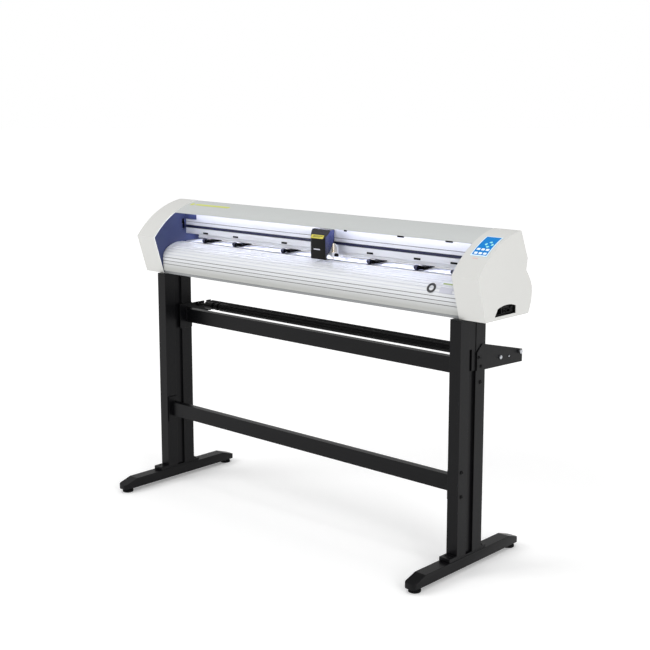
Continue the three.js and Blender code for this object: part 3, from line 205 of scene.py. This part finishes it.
# Painted shade: faces inside grooves are painted darker grey, and the upper apron grooves a paler painted
# shade.
groove_painted_shade = surface("groove_painted_shade", "757574", 0.5, 0.1, tint=0.04, grain_scale=1600, bump=0.04)
upper_groove_painted_shade = surface("upper_groove_painted_shade", "C9CBD4", 0.5, 0.1, tint=0.04, grain_scale=1600, bump=0.04)
bright_steel = surface("bright_steel", "B9BBC0", 0.24, 1.0, tint=0.04, grain_scale=1500, bump=0.04)
grit_steel = surface("grit_steel", "2C2D33", 0.6, 0.3, tint=0.1, grain_scale=2600, bump=0.7)
navy_paint = surface("navy_paint", "323A60", 0.38, tint=0.05, grain_scale=1600, bump=0.1, specular=0.4)
# Painted shade: the faces inside the rail's belt channel are painted dark navy.
channel_painted_shade = surface("channel_painted_shade", "262B58", 0.3, tint=0.06, grain_scale=1800, bump=0.06)
wheel_navy = surface("wheel_navy", "23263F", 0.5, tint=0.1, grain_scale=1500, bump=0.3)
# Painted shade on the carriage's right side, darker towards its foot.
carriage_side = surface("carriage_side", "3A4278", 0.26, tint=0.06, grain_scale=1800, bump=0.06,
                        painted_shade=CARRIAGE_PAINTED_SHADE)
# Near-black plastic, which on the front platen is also painted shade on the shaft slot's walls.
night_plastic_and_slot_shade = surface("night_plastic_and_slot_shade", "12121C", 0.3, tint=0.08, grain_scale=1800, bump=0.06, specular=0.3)
belt_navy = surface("belt_navy", "1D2148", 0.5, tint=0.1, grain_scale=2200, bump=0.2)
gold_brass = surface("gold_brass", "EADFC8", 0.24, 0.8, tint=0.03, grain_scale=1800, bump=0.04)
strip_cream = surface("strip_cream", "DDD9CB", 0.6, tint=0.03, bump=0.1)
board_green = surface("board_green", "1F5B38", 0.45, tint=0.12, bump=0.1)
film_blue = surface("film_blue", "007CCA", 0.5, tint=0.02, grain_scale=2600, bump=0.04, specular=0.08)
film_pale = surface("film_pale", "D6ECF6", 0.35, tint=0.01, bump=0.02)
key_white = surface("key_white", "EAF6FA", 0.38, tint=0.01, bump=0.03)
arrow_aqua = surface("arrow_aqua", "8FE3E6", 0.38, tint=0.02, bump=0.03)
label_yellow = surface("label_yellow", "C6BC40", 0.4, tint=0.03, bump=0.03)
label_olive = surface("label_olive", "C8D063", 0.45, tint=0.04, bump=0.03)
label_green = surface("label_green", "8FA35A", 0.45, tint=0.04, bump=0.03)
label_silver = surface("label_silver", "BFC0CC", 0.4, tint=0.03, bump=0.03)
label_ink = surface("label_ink", "18181C", 0.45, tint=0.05, bump=0.03)
label_red = surface("label_red", "D8A5A0", 0.5, tint=0.03, bump=0.03)
cover_light = surface("cover_light", "F2F2FF", 0.4, tint=0.01, bump=0.02, glow=("E9EAFF", 20.0))
beam_light = surface("beam_light", "F2F2FF", 0.4, tint=0.01, bump=0.02, glow=("EDEEFF", 24.0))

# ---------------------------------------------------------------- mesh helpers

MERGE_DISTANCE = 0.02 * MM
FLAT_ANGLE = math.radians(0.6)
SMOOTH_ANGLE = math.radians(38)


def new_object(name, bm):
    """The bmesh as an object, smooth but for its sharp edges."""
    mesh = bpy.data.meshes.new(name)
    bmesh.ops.recalc_face_normals(bm, faces=bm.faces)
    bm.to_mesh(mesh)
    bm.free()
    for polygon in mesh.polygons:
        polygon.use_smooth = True
    mesh.set_sharp_from_angle(angle=SMOOTH_ANGLE)
    made = bpy.data.objects.new(name, mesh)
    bpy.context.scene.collection.objects.link(made)
    return made


def dress(piece, body, material, slot, *hidden):
    """Gives a piece its material and body, and hides the CAD nodes that it stands for. The slot is not used.
    """
    if not piece.data.materials:
        piece.data.materials.append(material)
    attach(piece, body)
    if hidden:
        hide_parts(*hidden)
    return piece


def softened(node, material, slot, edge, segments=2, sharp=28, paint=()):
    """A copy of a CAD node with its sharp edges rounded by the edge width, in millimetres.

    Edges sharper than the sharp angle are rounded. Each pair in paint is a material and a test that
    picks its faces.
    """
    bm = bmesh.new()
    bm.from_mesh(frame["nodes"][node].data)
    bmesh.ops.remove_doubles(bm, verts=bm.verts, dist=MERGE_DISTANCE)
    bmesh.ops.dissolve_limit(
        bm, angle_limit=FLAT_ANGLE, verts=bm.verts, edges=bm.edges, use_dissolve_boundaries=False
    )
    made = new_object(node + "_skin", bm)
    made.data.materials.append(material)
    for number, (other, chosen) in enumerate(paint):
        made.data.materials.append(other)
        for polygon in made.data.polygons:
            if chosen(polygon):
                polygon.material_index = number + 1
    bevel = made.modifiers.new("rounding", "BEVEL")
    bevel.width = edge * MM
    bevel.segments = segments
    bevel.limit_method = "ANGLE"
    bevel.angle_limit = math.radians(sharp)
    bevel.harden_normals = True
    bevel.use_clamp_overlap = True
    return dress(made, BODY_OF[node], material, slot, node)


def kept(node, material):
    """A CAD node that is shown as it is, in a better material."""
    data = frame["nodes"][node].data
    data.materials.clear()
    data.materials.append(material)


def plate(name, outline, thickness, edge=0.0):
    """A flat piece with this outline, lying on z = 0 with its upper edge rounded."""
    bm = bmesh.new()
    low = [bm.verts.new((x, y, 0)) for x, y in outline]
    high = [bm.verts.new((x, y, thickness)) for x, y in outline]
    bm.faces.new(low[::-1])
    top = bm.faces.new(high)
    count = len(outline)
    for i in range(count):
        bm.faces.new((low[i], low[(i + 1) % count], high[(i + 1) % count], high[i]))
    if edge:
        rim = list(top.edges)
        bmesh.ops.bevel(bm, geom=rim, offset=edge, segments=2, profile=0.5, affect="EDGES")
    return new_object(name, bm)


def rounded_rectangle(width, height, radius, steps=4):
    """The outline of a rectangle about the origin, with its corners as arcs."""
    points = []
    for quarter, (x, y) in enumerate([(1, 1), (-1, 1), (-1, -1), (1, -1)]):
        for i in range(steps + 1):
            angle = math.pi / 2 * (quarter + i / steps)
            points.append((
                x * (width / 2 - radius) + radius * math.cos(angle),
                y * (height / 2 - radius) + radius * math.sin(angle),
            ))
    return points


def turned(name, profile, sides=24, hexagon=()):
    """A turned piece about Z from (radius, height) pairs. The pairs at the hexagon places are six-sided."""
    bm = bmesh.new()
    rings = []
    for place, (radius, height) in enumerate(profile):
        if radius == 0:
            rings.append([bm.verts.new((0, 0, height))])
            continue
        ring = []
        for i in range(sides):
            angle = 2 * math.pi * i / sides
            reach = radius
            if place in hexagon:
                reach = radius / math.cos(math.fmod(angle + math.pi / 6, math.pi / 3) - math.pi / 6)
            ring.append(bm.verts.new((reach * math.cos(angle), reach * math.sin(angle), height)))
        rings.append(ring)
    for below, above in zip(rings, rings[1:]):
        for i in range(sides):
            a, b = below[i % len(below)], below[(i + 1) % len(below)]
            c, d = above[(i + 1) % len(above)], above[i % len(above)]
            corners = list(dict.fromkeys((a, b, c, d)))
            if len(corners) > 2:
                bm.faces.new(corners)
    return new_object(name, bm)


def block(name, size, edge):
    """A box about its own middle with rounded edges."""
    bm = bmesh.new()
    bmesh.ops.create_cube(bm, size=1)
    bmesh.ops.scale(bm, vec=size, verts=bm.verts)
    bmesh.ops.bevel(bm, geom=bm.edges[:], offset=edge, segments=2, profile=0.5, affect="EDGES")
    return new_object(name, bm)


def stand_on(piece, point, normal, along=(1, 0, 0)):
    """Puts a piece at a point with its own Z along the normal and its own X near the given direction."""
    up = Vector(normal).normalized()
    across = Vector(along)
    across = (across - up * across.dot(up)).normalized()
    side = up.cross(across)
    turn = Matrix((across, side, up)).transposed().to_4x4()
    piece.matrix_world = Matrix.Translation(point) @ turn
    return piece


# The search trees of the CAD nodes that were asked for.
trees = {}


def touch(node, start, direction):
    """Where a straight line from start first meets a CAD node, and the surface's normal there."""
    if node not in trees:
        data = frame["nodes"][node].data
        corners = [v.co.copy() for v in data.vertices]
        trees[node] = BVHTree.FromPolygons(corners, [tuple(p.vertices) for p in data.polygons])
    point, normal, _, _ = trees[node].ray_cast(Vector(start), Vector(direction))
    if point is None:
        raise ValueError(f"no surface of {node} from {start}")
    return point, normal


def on_top(node, x, y):
    """The uppermost point of a CAD node at this place, and the normal there."""
    return touch(node, (x, y, cad_high.z + OUTSIDE), (0, 0, -1))


def screw(name, point, normal, radius, material=bright_steel, slot="steel"):
    """A button-head screw with a hexagon socket."""
    height = radius * 0.55
    profile = [
        (0, 0), (radius, 0), (radius, height * 0.35), (radius * 0.86, height * 0.8), (radius * 0.62, height),
        (radius * 0.46, height), (radius * 0.42, height * 0.9), (radius * 0.42, height * 0.3),
        (0, height * 0.3),
    ]
    made = turned(name, profile, hexagon=(6, 7))
    stand_on(made, point, normal, (0, 0, 1) if abs(normal[2]) < 0.7 else (1, 0, 0))
    return dress(made, ROOT, material, slot)


def black_screw(name, point, normal, radius):
    """A screw with a black finish."""
    return screw(name, point, normal, radius, material=moulded_black, slot="black_plastic")


def washer(name, point, normal, radius):
    """A flat washer with its upper edge chamfered."""
    thickness = radius * 0.16
    profile = [(0, 0), (radius, 0), (radius, thickness * 0.7), (radius * 0.93, thickness), (0, thickness)]
    made = stand_on(turned(name, profile, sides=28), point, normal)
    return dress(made, ROOT, bright_steel, "steel")


# ---------------------------------------------------------------- stand


def stand():
    for label, side in SIDES:
        softened(label + "_foot_bar", stand_black, "stand_black", 1.6, segments=3)
        softened(label + "_base_bracket", stand_black, "stand_black", 0.8)
        softened(label + "_column", stand_black, "stand_black", 0.8)
        softened(label + "_head_bracket", stand_black, "stand_black", 0.6)
        softened(label + "_media_arm", stand_black, "stand_black", 0.5)
        for end in ("front", "rear"):
            softened(f"{label}_{end}_levelling_foot", soft_black, "rubber", 0.7)
        base_screws(label)
        column_screws(label, side)
        arm_screws(label, side)
    softened("lower_cross_beam", stand_black, "stand_black", 0.9)
    softened("upper_cross_beam", stand_black, "stand_black", 0.9)
    for node in ("front_media_roller", "rear_media_roller"):
        softened(node, moulded_black, "roller_black", 0.4)
    for label, _ in SIDES:
        softened(label + "_stop_collar", moulded_black, "black_plastic", 0.8)


def base_screws(label):
    """Four screws through a base bracket into its foot bar, before and behind the column."""
    half_pitch = 11 * MM
    head_radius = 4.2 * MM
    bracket = label + "_base_bracket"
    low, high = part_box(bracket)
    column_low, column_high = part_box(label + "_column")
    middle = (low.x + high.x) / 2
    rows = (("front", (low.y + column_low.y) / 2), ("rear", (high.y + column_high.y) / 2))
    for end, y in rows:
        for number, across in enumerate((-half_pitch, half_pitch)):
            point, normal = on_top(bracket, middle + across, y)
            black_screw(f"{label}_base_screw_{end}_{number}", point, normal, head_radius)


def outer_face(node, side):
    """The x of the node's face that looks away from the middle of the machine."""
    low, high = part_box(node)
    return high.x if side > 0 else low.x


def column_screws(label, side):
    """Bolts through the outer face of a column into the ends of the cross beams."""
    head_radius = 6.5 * MM
    front_inset, rear_inset = 17 * MM, 24 * MM
    low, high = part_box(label + "_column")
    face = outer_face(label + "_column", side)
    lower_low, lower_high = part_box("lower_cross_beam")
    upper_low, upper_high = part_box("upper_cross_beam")
    rows = (
        ("lower", low.y + front_inset, (lower_low.z + 14 * MM, lower_high.z - 3 * MM)),
        ("upper", high.y - rear_inset, (upper_low.z + 10 * MM, upper_high.z - 10 * MM)),
    )
    for beam, y, heights in rows:
        for number, z in enumerate(heights):
            black_screw(f"{label}_{beam}_beam_bolt_{number}", (face, y, z), (side, 0, 0), head_radius)


def arm_screws(label, side):
    """Bolts that hold a media arm to its column, and the fasteners on the roller axles."""
    bolt_radius, axle_screw_radius = 5.5 * MM, 3.4 * MM
    low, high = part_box(label + "_media_arm")
    face = outer_face(label + "_media_arm", side)
    column_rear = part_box(label + "_column")[1].y
    lowest = low.z + 22 * MM
    bolts = ((column_rear - 26 * MM, lowest), (column_rear - 38 * MM, lowest + 30 * MM))
    for number, (y, z) in enumerate(bolts):
        black_screw(f"{label}_arm_bolt_{number}", (face, y, z), (side, 0, 0), bolt_radius)
    front = middle_of("front_media_roller")
    axle_nut(label, side, (face, front.y, front.z))
    rear = middle_of("rear_media_roller")
    screw(f"{label}_rear_axle_screw", (face, rear.y, rear.z), (side, 0, 0), axle_screw_radius)
    if side > 0:
        thumb_screw((face, high.y - 19 * MM, low.z + 36 * MM))


def axle_nut(label, side, place):
    """The washer and the hexagon nut on the axle of the front roller."""
    washer_radius, nut_base = 9 * MM, 1.4 * MM
    outward = (side, 0, 0)
    washer(f"{label}_front_axle_washer", place, outward, washer_radius)
    profile = [
        (0, 0), (6.2 * MM, 0), (6.2 * MM, 3.4 * MM), (5.6 * MM, 4.4 * MM), (4.2 * MM, 4.4 * MM),
        (3.6 * MM, 5.4 * MM), (0, 5.6 * MM),
    ]
    nut = turned(f"{label}_front_axle_nut", profile, hexagon=(1, 2))
    stand_on(nut, (place[0] + side * nut_base, place[1], place[2]), outward, (0, 0, 1))
    dress(nut, ROOT, bright_steel, "steel")


def thumb_screw(place):
    """The knurled screw at the rear of the tall media arm."""
    neck, shoulder, grip, top = 3.6, 6.2, 6.7, 6.0
    knurls, knurl_depth = 18, 0.35
    around = 4 * knurls
    bm = bmesh.new()
    rings = []
    for height, radius in ((0, neck), (4, neck), (4, shoulder), (4.8, grip), (9.4, grip), (10.2, top)):
        ring = []
        for i in range(around):
            angle = 2 * math.pi * i / around
            ripple = knurl_depth * math.cos(knurls * angle) if radius == grip else 0
            reach = (radius + ripple) * MM
            ring.append(bm.verts.new((reach * math.cos(angle), reach * math.sin(angle), height * MM)))
        rings.append(ring)
    for below, above in zip(rings, rings[1:]):
        for i in range(around):
            j = (i + 1) % around
            bm.faces.new((below[i], below[j], above[j], above[i]))
    bm.faces.new(rings[0][::-1])
    bm.faces.new(rings[-1])
    knob = new_object("media_arm_thumb_screw", bm)
    dress(stand_on(knob, place, (1, 0, 0), (0, 0, 1)), ROOT, bright_steel, "steel")


# ---------------------------------------------------------------- head


def head_shells():
    end_caps()
    softened("top_cover", cover_grey, "grey_cover", 0.7, sharp=30)
    front_platen()
    softened("rear_platen", satin_aluminium, "aluminium", 0.4, sharp=30)
    softened("cutting_strip", strip_cream, "cream_strip", 0.3)
    kept("chassis_tray", tray_grey)
    rail_beam()
    for label, _ in SIDES:
        softened(label + "_side_plate", navy_paint, "navy_paint", 0.4)
    softened("drive_belt", belt_navy, "rubber", 0.25)


def end_caps():
    rim_depth = 1 * MM
    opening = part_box("right_end_cap")[0].x

    # The rim faces get a painted highlight, near white, where the rim's edge catches the light.
    def on_rim(face):
        return abs(face.normal.x) > ALONG and abs(face.center.x) < opening + rim_depth

    for label, _ in SIDES:
        softened(label + "_end_cap", shell_grey, "light_shell", 1.6, segments=3, sharp=18,
                 paint=[(rim_painted_highlight, on_rim)])


def front_platen():
    """The platen with its apron. The faces of its grooves are long and narrow, and are painted darker as
    painted shade, less so high up; the walls of the shaft slot are painted near black as painted shade.
    """
    groove_width = 1.6 * MM
    rear_strip, upper_part, slot_depth = 20 * MM, 42 * MM, 1 * MM
    low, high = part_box("front_platen")
    largest_groove = groove_width * (high.x - low.x)

    def in_groove(face):
        before_strip = face.center.y < high.y - rear_strip
        return face.area < largest_groove and before_strip and abs(face.normal.x) < ACROSS

    def in_upper_groove(face):
        return in_groove(face) and face.center.z > high.z - upper_part

    def in_shaft_slot(face):
        return abs(face.normal.y) > ALONG and face.center.y > high.y - slot_depth

    groove_and_slot_shade = [(groove_painted_shade, in_groove), (upper_groove_painted_shade, in_upper_groove), (night_plastic_and_slot_shade, in_shaft_slot)]
    softened("front_platen", apron_silver, "aluminium", 0.25, sharp=30, paint=groove_and_slot_shade)


def rail_beam():
    """The rail, with its belt channel painted dark navy and the groove above it painted grey, both as
    painted shade.
    """

    def sunk(face, lower, upper, depth):
        height = face.center.z - PLATEN_TOP
        return lower < height < upper and face.center.y > BEAM_LOW.y + depth

    def in_channel(face):
        return sunk(face, 51.9 * MM, 63.1 * MM, 2 * MM)

    def in_groove(face):
        return sunk(face, 74 * MM, 77 * MM, 0.5 * MM)

    paint = [(channel_painted_shade, in_channel), (groove_painted_shade, in_groove)]
    softened("rail_beam", satin_aluminium, "aluminium", 0.35, sharp=30, paint=paint)


def head_details():
    cover_pads()
    lamps()
    pocket_inserts()
    cover_rear_screws()


def cover_pads():
    """Rubber pads on the front edge of the cover."""
    long_pad, short_pad, pad_depth, pad_height = 28 * MM, 12 * MM, 4 * MM, 5.6 * MM
    forward, down = 4 * MM, 4.6 * MM
    lip_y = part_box("top_cover")[0].y
    for number, (x, width) in enumerate(((176 * MM, short_pad), (416 * MM, long_pad), (612 * MM, long_pad))):
        pad = block(f"cover_pad_{number + 1}", (width, pad_depth, pad_height), 1.2 * MM)
        front, _ = on_top("top_cover", x, lip_y + forward)
        pad.location = (x, front.y - forward, front.z - down)
        dress(pad, ROOT, soft_black, "rubber")


def lamps():
    """One light strip under the cover and one under the rail."""
    end_gap = 12 * MM
    length = BEAM_HIGH.x - BEAM_LOW.x - 2 * end_gap
    lamp_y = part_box("top_cover")[0].y + 36 * MM
    lamp = block("cover_lamp", (length, 7 * MM, 3 * MM), 0.8 * MM)
    under, _ = touch("top_cover", (0, lamp_y, BEAM_HIGH.z + 1 * MM), (0, 0, 1))
    lamp.location = (0, lamp_y, under.z - 3.5 * MM)
    dress(lamp, ROOT, cover_light, "light_shell")
    strip = block("beam_lamp", (length, 6 * MM, 2.4 * MM), 0.6 * MM)
    strip.location = (0, BEAM_LOW.y + 22 * MM, PLATEN_TOP + 32.4 * MM)
    dress(strip, ROOT, beam_light, "light_shell")


def pocket_inserts():
    """Black inserts in the pockets of the rail, above the pinch arms."""
    size = (28 * MM, 6.4 * MM, 7 * MM)
    sideways, depth, height = 9 * MM, 2.2 * MM, 36 * MM
    for number, x in enumerate(PINCH_X):
        insert = block(f"pocket_insert_{number + 1}", size, 0.8 * MM)
        insert.location = (x - sideways, BEAM_LOW.y + depth, PLATEN_TOP + height)
        dress(insert, ROOT, moulded_black, "black_plastic")


def cover_rear_screws():
    """A row of screws along the rear edge of the cover."""
    count, inset, head_radius = 6, 60 * MM, 3.2 * MM
    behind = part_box("top_cover")[1].y + OUTSIDE
    first, last = BEAM_LOW.x + inset, BEAM_HIGH.x - inset
    for number in range(count):
        x = first + number * (last - first) / (count - 1)
        point, normal = touch("top_cover", (x, behind, BEAM_HIGH.z - 8 * MM), (0, -1, 0))
        black_screw(f"cover_rear_screw_{number + 1}", point, normal, head_radius)


def sticker(name, outline, thickness, point, normal, material, slot, body=ROOT, edge=0.0):
    """A thin flat piece on a surface."""
    piece = plate(name, outline, thickness, edge)
    return dress(stand_on(piece, point, normal), body, material, slot)


def labels():
    """Plain coloured stickers in place of the marks."""
    film = 0.25 * MM
    for name, x, width, height, radius in (
        ("cover_stripe", -560, 190, 13, 6),
        ("cover_stripe_dot", -674, 20, 20, 9),
    ):
        point, normal = on_top("top_cover", x * MM, 78 * MM)
        outline = rounded_rectangle(width * MM, height * MM, radius * MM)
        sticker(name, outline, film, point, normal, label_olive, "grey_cover")

    def on_apron(x, below):
        return touch("front_platen", (x * MM, cad_low.y - OUTSIDE, PLATEN_TOP - below * MM), (0, 1, 0))

    for name, below, height, material in (
        ("apron_label_green", 15, 6, label_green),
        ("apron_label_silver", 32, 20, label_silver),
    ):
        point, normal = on_apron(646, below)
        outline = rounded_rectangle(48 * MM, height * MM, 1 * MM)
        sticker(name, outline, 0.5 * MM, point, normal, material, "aluminium")

    inner, outer, thickness = 9 * MM, 17 * MM, 0.6 * MM
    profile = [(inner, 0), (outer, 0), (outer, thickness), (inner, thickness), (inner, 0)]
    point, normal = on_apron(588, 30)
    lift = normal * 0.2 * MM
    ring = turned("apron_ring_label", profile, sides=40)
    dress(stand_on(ring, point + lift, normal), ROOT, label_ink, "aluminium")


# ---------------------------------------------------------------- keypad


def keypad():
    softened("keypad_film", film_pale, "blue_film", 0.3)
    keypad_field()
    low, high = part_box("keypad_film")
    middle = (low.x + high.x) / 2
    key = rounded_rectangle(11.5 * MM, 9 * MM, 1.6 * MM)
    for row, y in enumerate((-27 * MM, -12.5 * MM)):
        for column, across in enumerate((-15.5 * MM, 1 * MM, 17.5 * MM)):
            point, normal = on_top("keypad_film", middle + across, y)
            sticker(f"key_{row + 1}_{column + 1}", key, 1.1 * MM, point, normal, key_white, "blue_film",
                    edge=0.4 * MM)
    arrow_keys(middle + 8 * MM, 10 * MM)
    point, normal = on_top("right_end_cap", 752 * MM, -43 * MM)
    caption = rounded_rectangle(20 * MM, 2.4 * MM, 1.1 * MM)
    sticker("keypad_caption", caption, 0.25 * MM, point, normal, label_red, "light_shell")


def keypad_field():
    """The blue field, which follows the film's curve a little above it."""
    rows, border, lift = 14, 3.5 * MM, 0.25 * MM
    low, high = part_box("keypad_film")
    bm = bmesh.new()
    lower, upper = [], []
    for i in range(rows + 1):
        y = low.y + border + (high.y - low.y - 2 * border) * i / rows
        for x in (low.x + border, high.x - border):
            point, normal = on_top("keypad_film", x, y)
            lower.append(bm.verts.new(point))
            upper.append(bm.verts.new(point + normal * lift))
    for i in range(rows):
        a, b, c, d = 2 * i, 2 * i + 1, 2 * i + 3, 2 * i + 2
        bm.faces.new((upper[a], upper[b], upper[c], upper[d]))
        bm.faces.new((lower[a], lower[d], lower[c], lower[b]))
        bm.faces.new((lower[a], upper[a], upper[d], lower[d]))
        bm.faces.new((lower[b], lower[c], upper[c], upper[b]))
    bm.faces.new((lower[0], lower[1], upper[1], upper[0]))
    bm.faces.new((lower[-1], lower[-2], upper[-2], upper[-1]))
    dress(new_object("keypad_field", bm), ROOT, film_blue, "blue_film")


def arrow_keys(centre_x, centre_y):
    """Four keys round a middle, each one pointing outward."""
    scale, reach_x, reach_y = 0.85 * MM, 11.5 * MM, 10.5 * MM
    petal = [(x * scale, y * scale) for x, y in ((-5, -4.5), (5, -4.5), (6.5, 0), (0, 6), (-6.5, 0))]
    for number, (dx, dy) in enumerate(((0, 1), (1, 0), (0, -1), (-1, 0))):
        point, normal = on_top("keypad_film", centre_x + dx * reach_x, centre_y + dy * reach_y)
        arrow = plate(f"arrow_key_{number + 1}", petal, 1.0 * MM, 0.35 * MM)
        dress(stand_on(arrow, point, normal, (dy, -dx, 0)), ROOT, arrow_aqua, "blue_film")


# ---------------------------------------------------------------- carriage and tool


def carriage():
    slope_tilt, side_tilt = 0.3, 0.6

    def on_slope(face):
        return face.normal.z > slope_tilt

    def on_right_side(face):
        return face.normal.x > side_tilt

    paint = [(night_plastic_and_slot_shade, on_slope), (carriage_side, on_right_side)]
    softened("carriage_cover", moulded_black, "black_plastic", 1.2, segments=3, sharp=25, paint=paint)
    softened("carriage_body", stand_black, "stand_black", 0.6)
    softened("tool_slide", satin_aluminium, "aluminium", 0.5)
    softened("blade_holder", gold_brass, "brass", 0.3)
    softened("clamp_knob", moulded_black, "black_plastic", 0.5)
    carriage_labels()


def carriage_labels():
    """A yellow label with two bars, and a plain pale mark below it."""
    label_height, mark_height, label_thickness = 77.5 * MM, 34 * MM, 0.5 * MM
    body = BODY_OF["carriage_cover"]
    low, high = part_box("carriage_cover")
    middle = (low.x + high.x) / 2 - 4 * MM

    def on_front(height):
        return touch("carriage_cover", (middle, low.y - OUTSIDE, low.z + height), (0, 1, 0))

    point, normal = on_front(label_height)
    label = rounded_rectangle(58 * MM, 14 * MM, 1.5 * MM)
    sticker("carriage_label", label, label_thickness, point, normal, label_yellow, "black_plastic", body,
            edge=0.15 * MM)
    for number, (across, rise, width) in enumerate(((2, 2.6, 44), (-4, -1.4, 32))):
        bar = rounded_rectangle(width * MM, 1.6 * MM, 0.7 * MM)
        ink = stand_on(plate(f"carriage_label_line_{number + 1}", bar, 0.2 * MM), (0, 0, 0), normal)
        shift = Vector((across * MM, rise * MM, label_thickness))
        ink.location = point + ink.matrix_world.to_3x3() @ shift
        dress(ink, body, label_ink, "black_plastic")
    point, normal = on_front(mark_height)
    mark = rounded_rectangle(30 * MM, 4 * MM, 1.8 * MM)
    sticker("carriage_mark", mark, 0.4 * MM, point, normal, label_silver, "black_plastic", body,
            edge=0.15 * MM)


# ---------------------------------------------------------------- pinch rollers, shafts and drives


def pinch_rollers():
    hub_reach = 9.7 * MM
    hub_profile = [
        (0, 0), (4.6 * MM, 0), (4.6 * MM, 0.8 * MM), (3.9 * MM, 1.3 * MM), (2.2 * MM, 0.9 * MM),
        (0, 0.9 * MM),
    ]
    for number in range(1, PINCH_COUNT + 1):
        wheel = f"pinch_wheel_{number}"
        softened(f"pinch_arm_{number}", arm_black, "black_plastic", 0.5)
        softened(wheel, wheel_navy, "rubber", 0.4)
        centre = middle_of(wheel)
        for label, side in SIDES:
            hub = turned(f"wheel_hub_{number}_{label}", hub_profile)
            stand_on(hub, (centre.x + side * hub_reach, centre.y, centre.z), (side, 0, 0))
            dress(hub, BODY_OF[wheel], bright_steel, "steel")


def drives():
    softened("grit_shaft", grit_steel, "steel", 0.4)
    softened("rocker_switch", moulded_black, "black_plastic", 0.6)
    softened("port_panel", moulded_black, "black_plastic", 0.5)
    for node, material in (
        ("idler_pulley", bright_steel), ("drive_pulley", bright_steel), ("carriage_motor", stand_black),
        ("feed_motor", stand_black), ("shaft_gear", bright_steel), ("motor_pinion", gold_brass),
        ("control_board", board_green), ("power_supply", bright_steel),
    ):
        kept(node, material)


# ---------------------------------------------------------------- studio


def studio():
    floor()
    surroundings()
    middle = (0, 0, 0.8)
    softbox("key", (-2.6, -3.2, 3.6), middle, size=2.4, power=75)
    softbox("fill", (4.4, -1.6, 2.0), (0.3, 0, 0.8), size=2.0, power=60)
    softbox("top", (0, 0.6, 4.2), middle, size=3.0, power=35)
    bpy.context.scene.view_settings.view_transform = "Standard"


def floor():
    """A white floor that glows more away from the machine, so that it has no horizon."""
    near, far = 1.2, 4.5
    near_glow, far_glow = 0.16, 0.45
    bm = bmesh.new()
    bmesh.ops.create_circle(bm, cap_ends=True, radius=40, segments=64)
    made = new_object("floor", bm)
    white = surface("floor_white", "FBFBFB", 0.9, tint=0.004, grain_scale=40, bump=0.01, specular=0.1)
    made.data.materials.append(white)
    tree = white.node_tree
    distance = tree.nodes.new("ShaderNodeVectorMath")
    distance.operation = "LENGTH"
    tree.links.new(tree.nodes.new("ShaderNodeTexCoord").outputs["Object"], distance.inputs[0])
    glow = ranged(tree, distance.outputs["Value"], (near, far), (near_glow, far_glow))
    tree.links.new(glow, tree.nodes["Principled BSDF"].inputs["Emission Strength"])


def surroundings():
    """A white world that is dimmer as a lamp than it looks."""
    strength_as_lamp, strength_as_seen = 0.62, 1.0
    world = bpy.data.worlds.new("studio")
    bpy.context.scene.world = world
    world.use_nodes = True
    tree = world.node_tree
    background = tree.nodes["Background"]
    background.inputs["Color"].default_value = (1, 1, 1, 1)
    seen = tree.nodes.new("ShaderNodeLightPath").outputs["Is Camera Ray"]
    strength = ranged(tree, seen, (0, 1), (strength_as_lamp, strength_as_seen))
    tree.links.new(strength, background.inputs["Strength"])


def softbox(name, place, target, size, power):
    light = bpy.data.lights.new(name, "AREA")
    light.shape = "SQUARE"
    light.size = size
    light.energy = power
    made = bpy.data.objects.new(name, light)
    bpy.context.scene.collection.objects.link(made)
    made.location = place
    made.rotation_euler = (Vector(target) - Vector(place)).to_track_quat("-Z", "Y").to_euler()


def camera():
    """The photo's viewpoint, solved from the parallel edges of the rail, the feet and the columns."""
    place = (2.9118, -3.0792, 1.5408)
    yaw, pitch = math.radians(42.47), math.radians(9.51)
    data = bpy.data.cameras.new("camera")
    data.sensor_width = 36
    data.lens = 67.94
    data.shift_y = -0.0538
    made = bpy.data.objects.new("camera", data)
    bpy.context.scene.collection.objects.link(made)
    made.location = place
    made.rotation_euler = (math.pi / 2 - pitch, 0, yaw)
    bpy.context.scene.camera = made


stand()
head_shells()
head_details()
labels()
keypad()
carriage()
pinch_rollers()
drives()
studio()
camera()
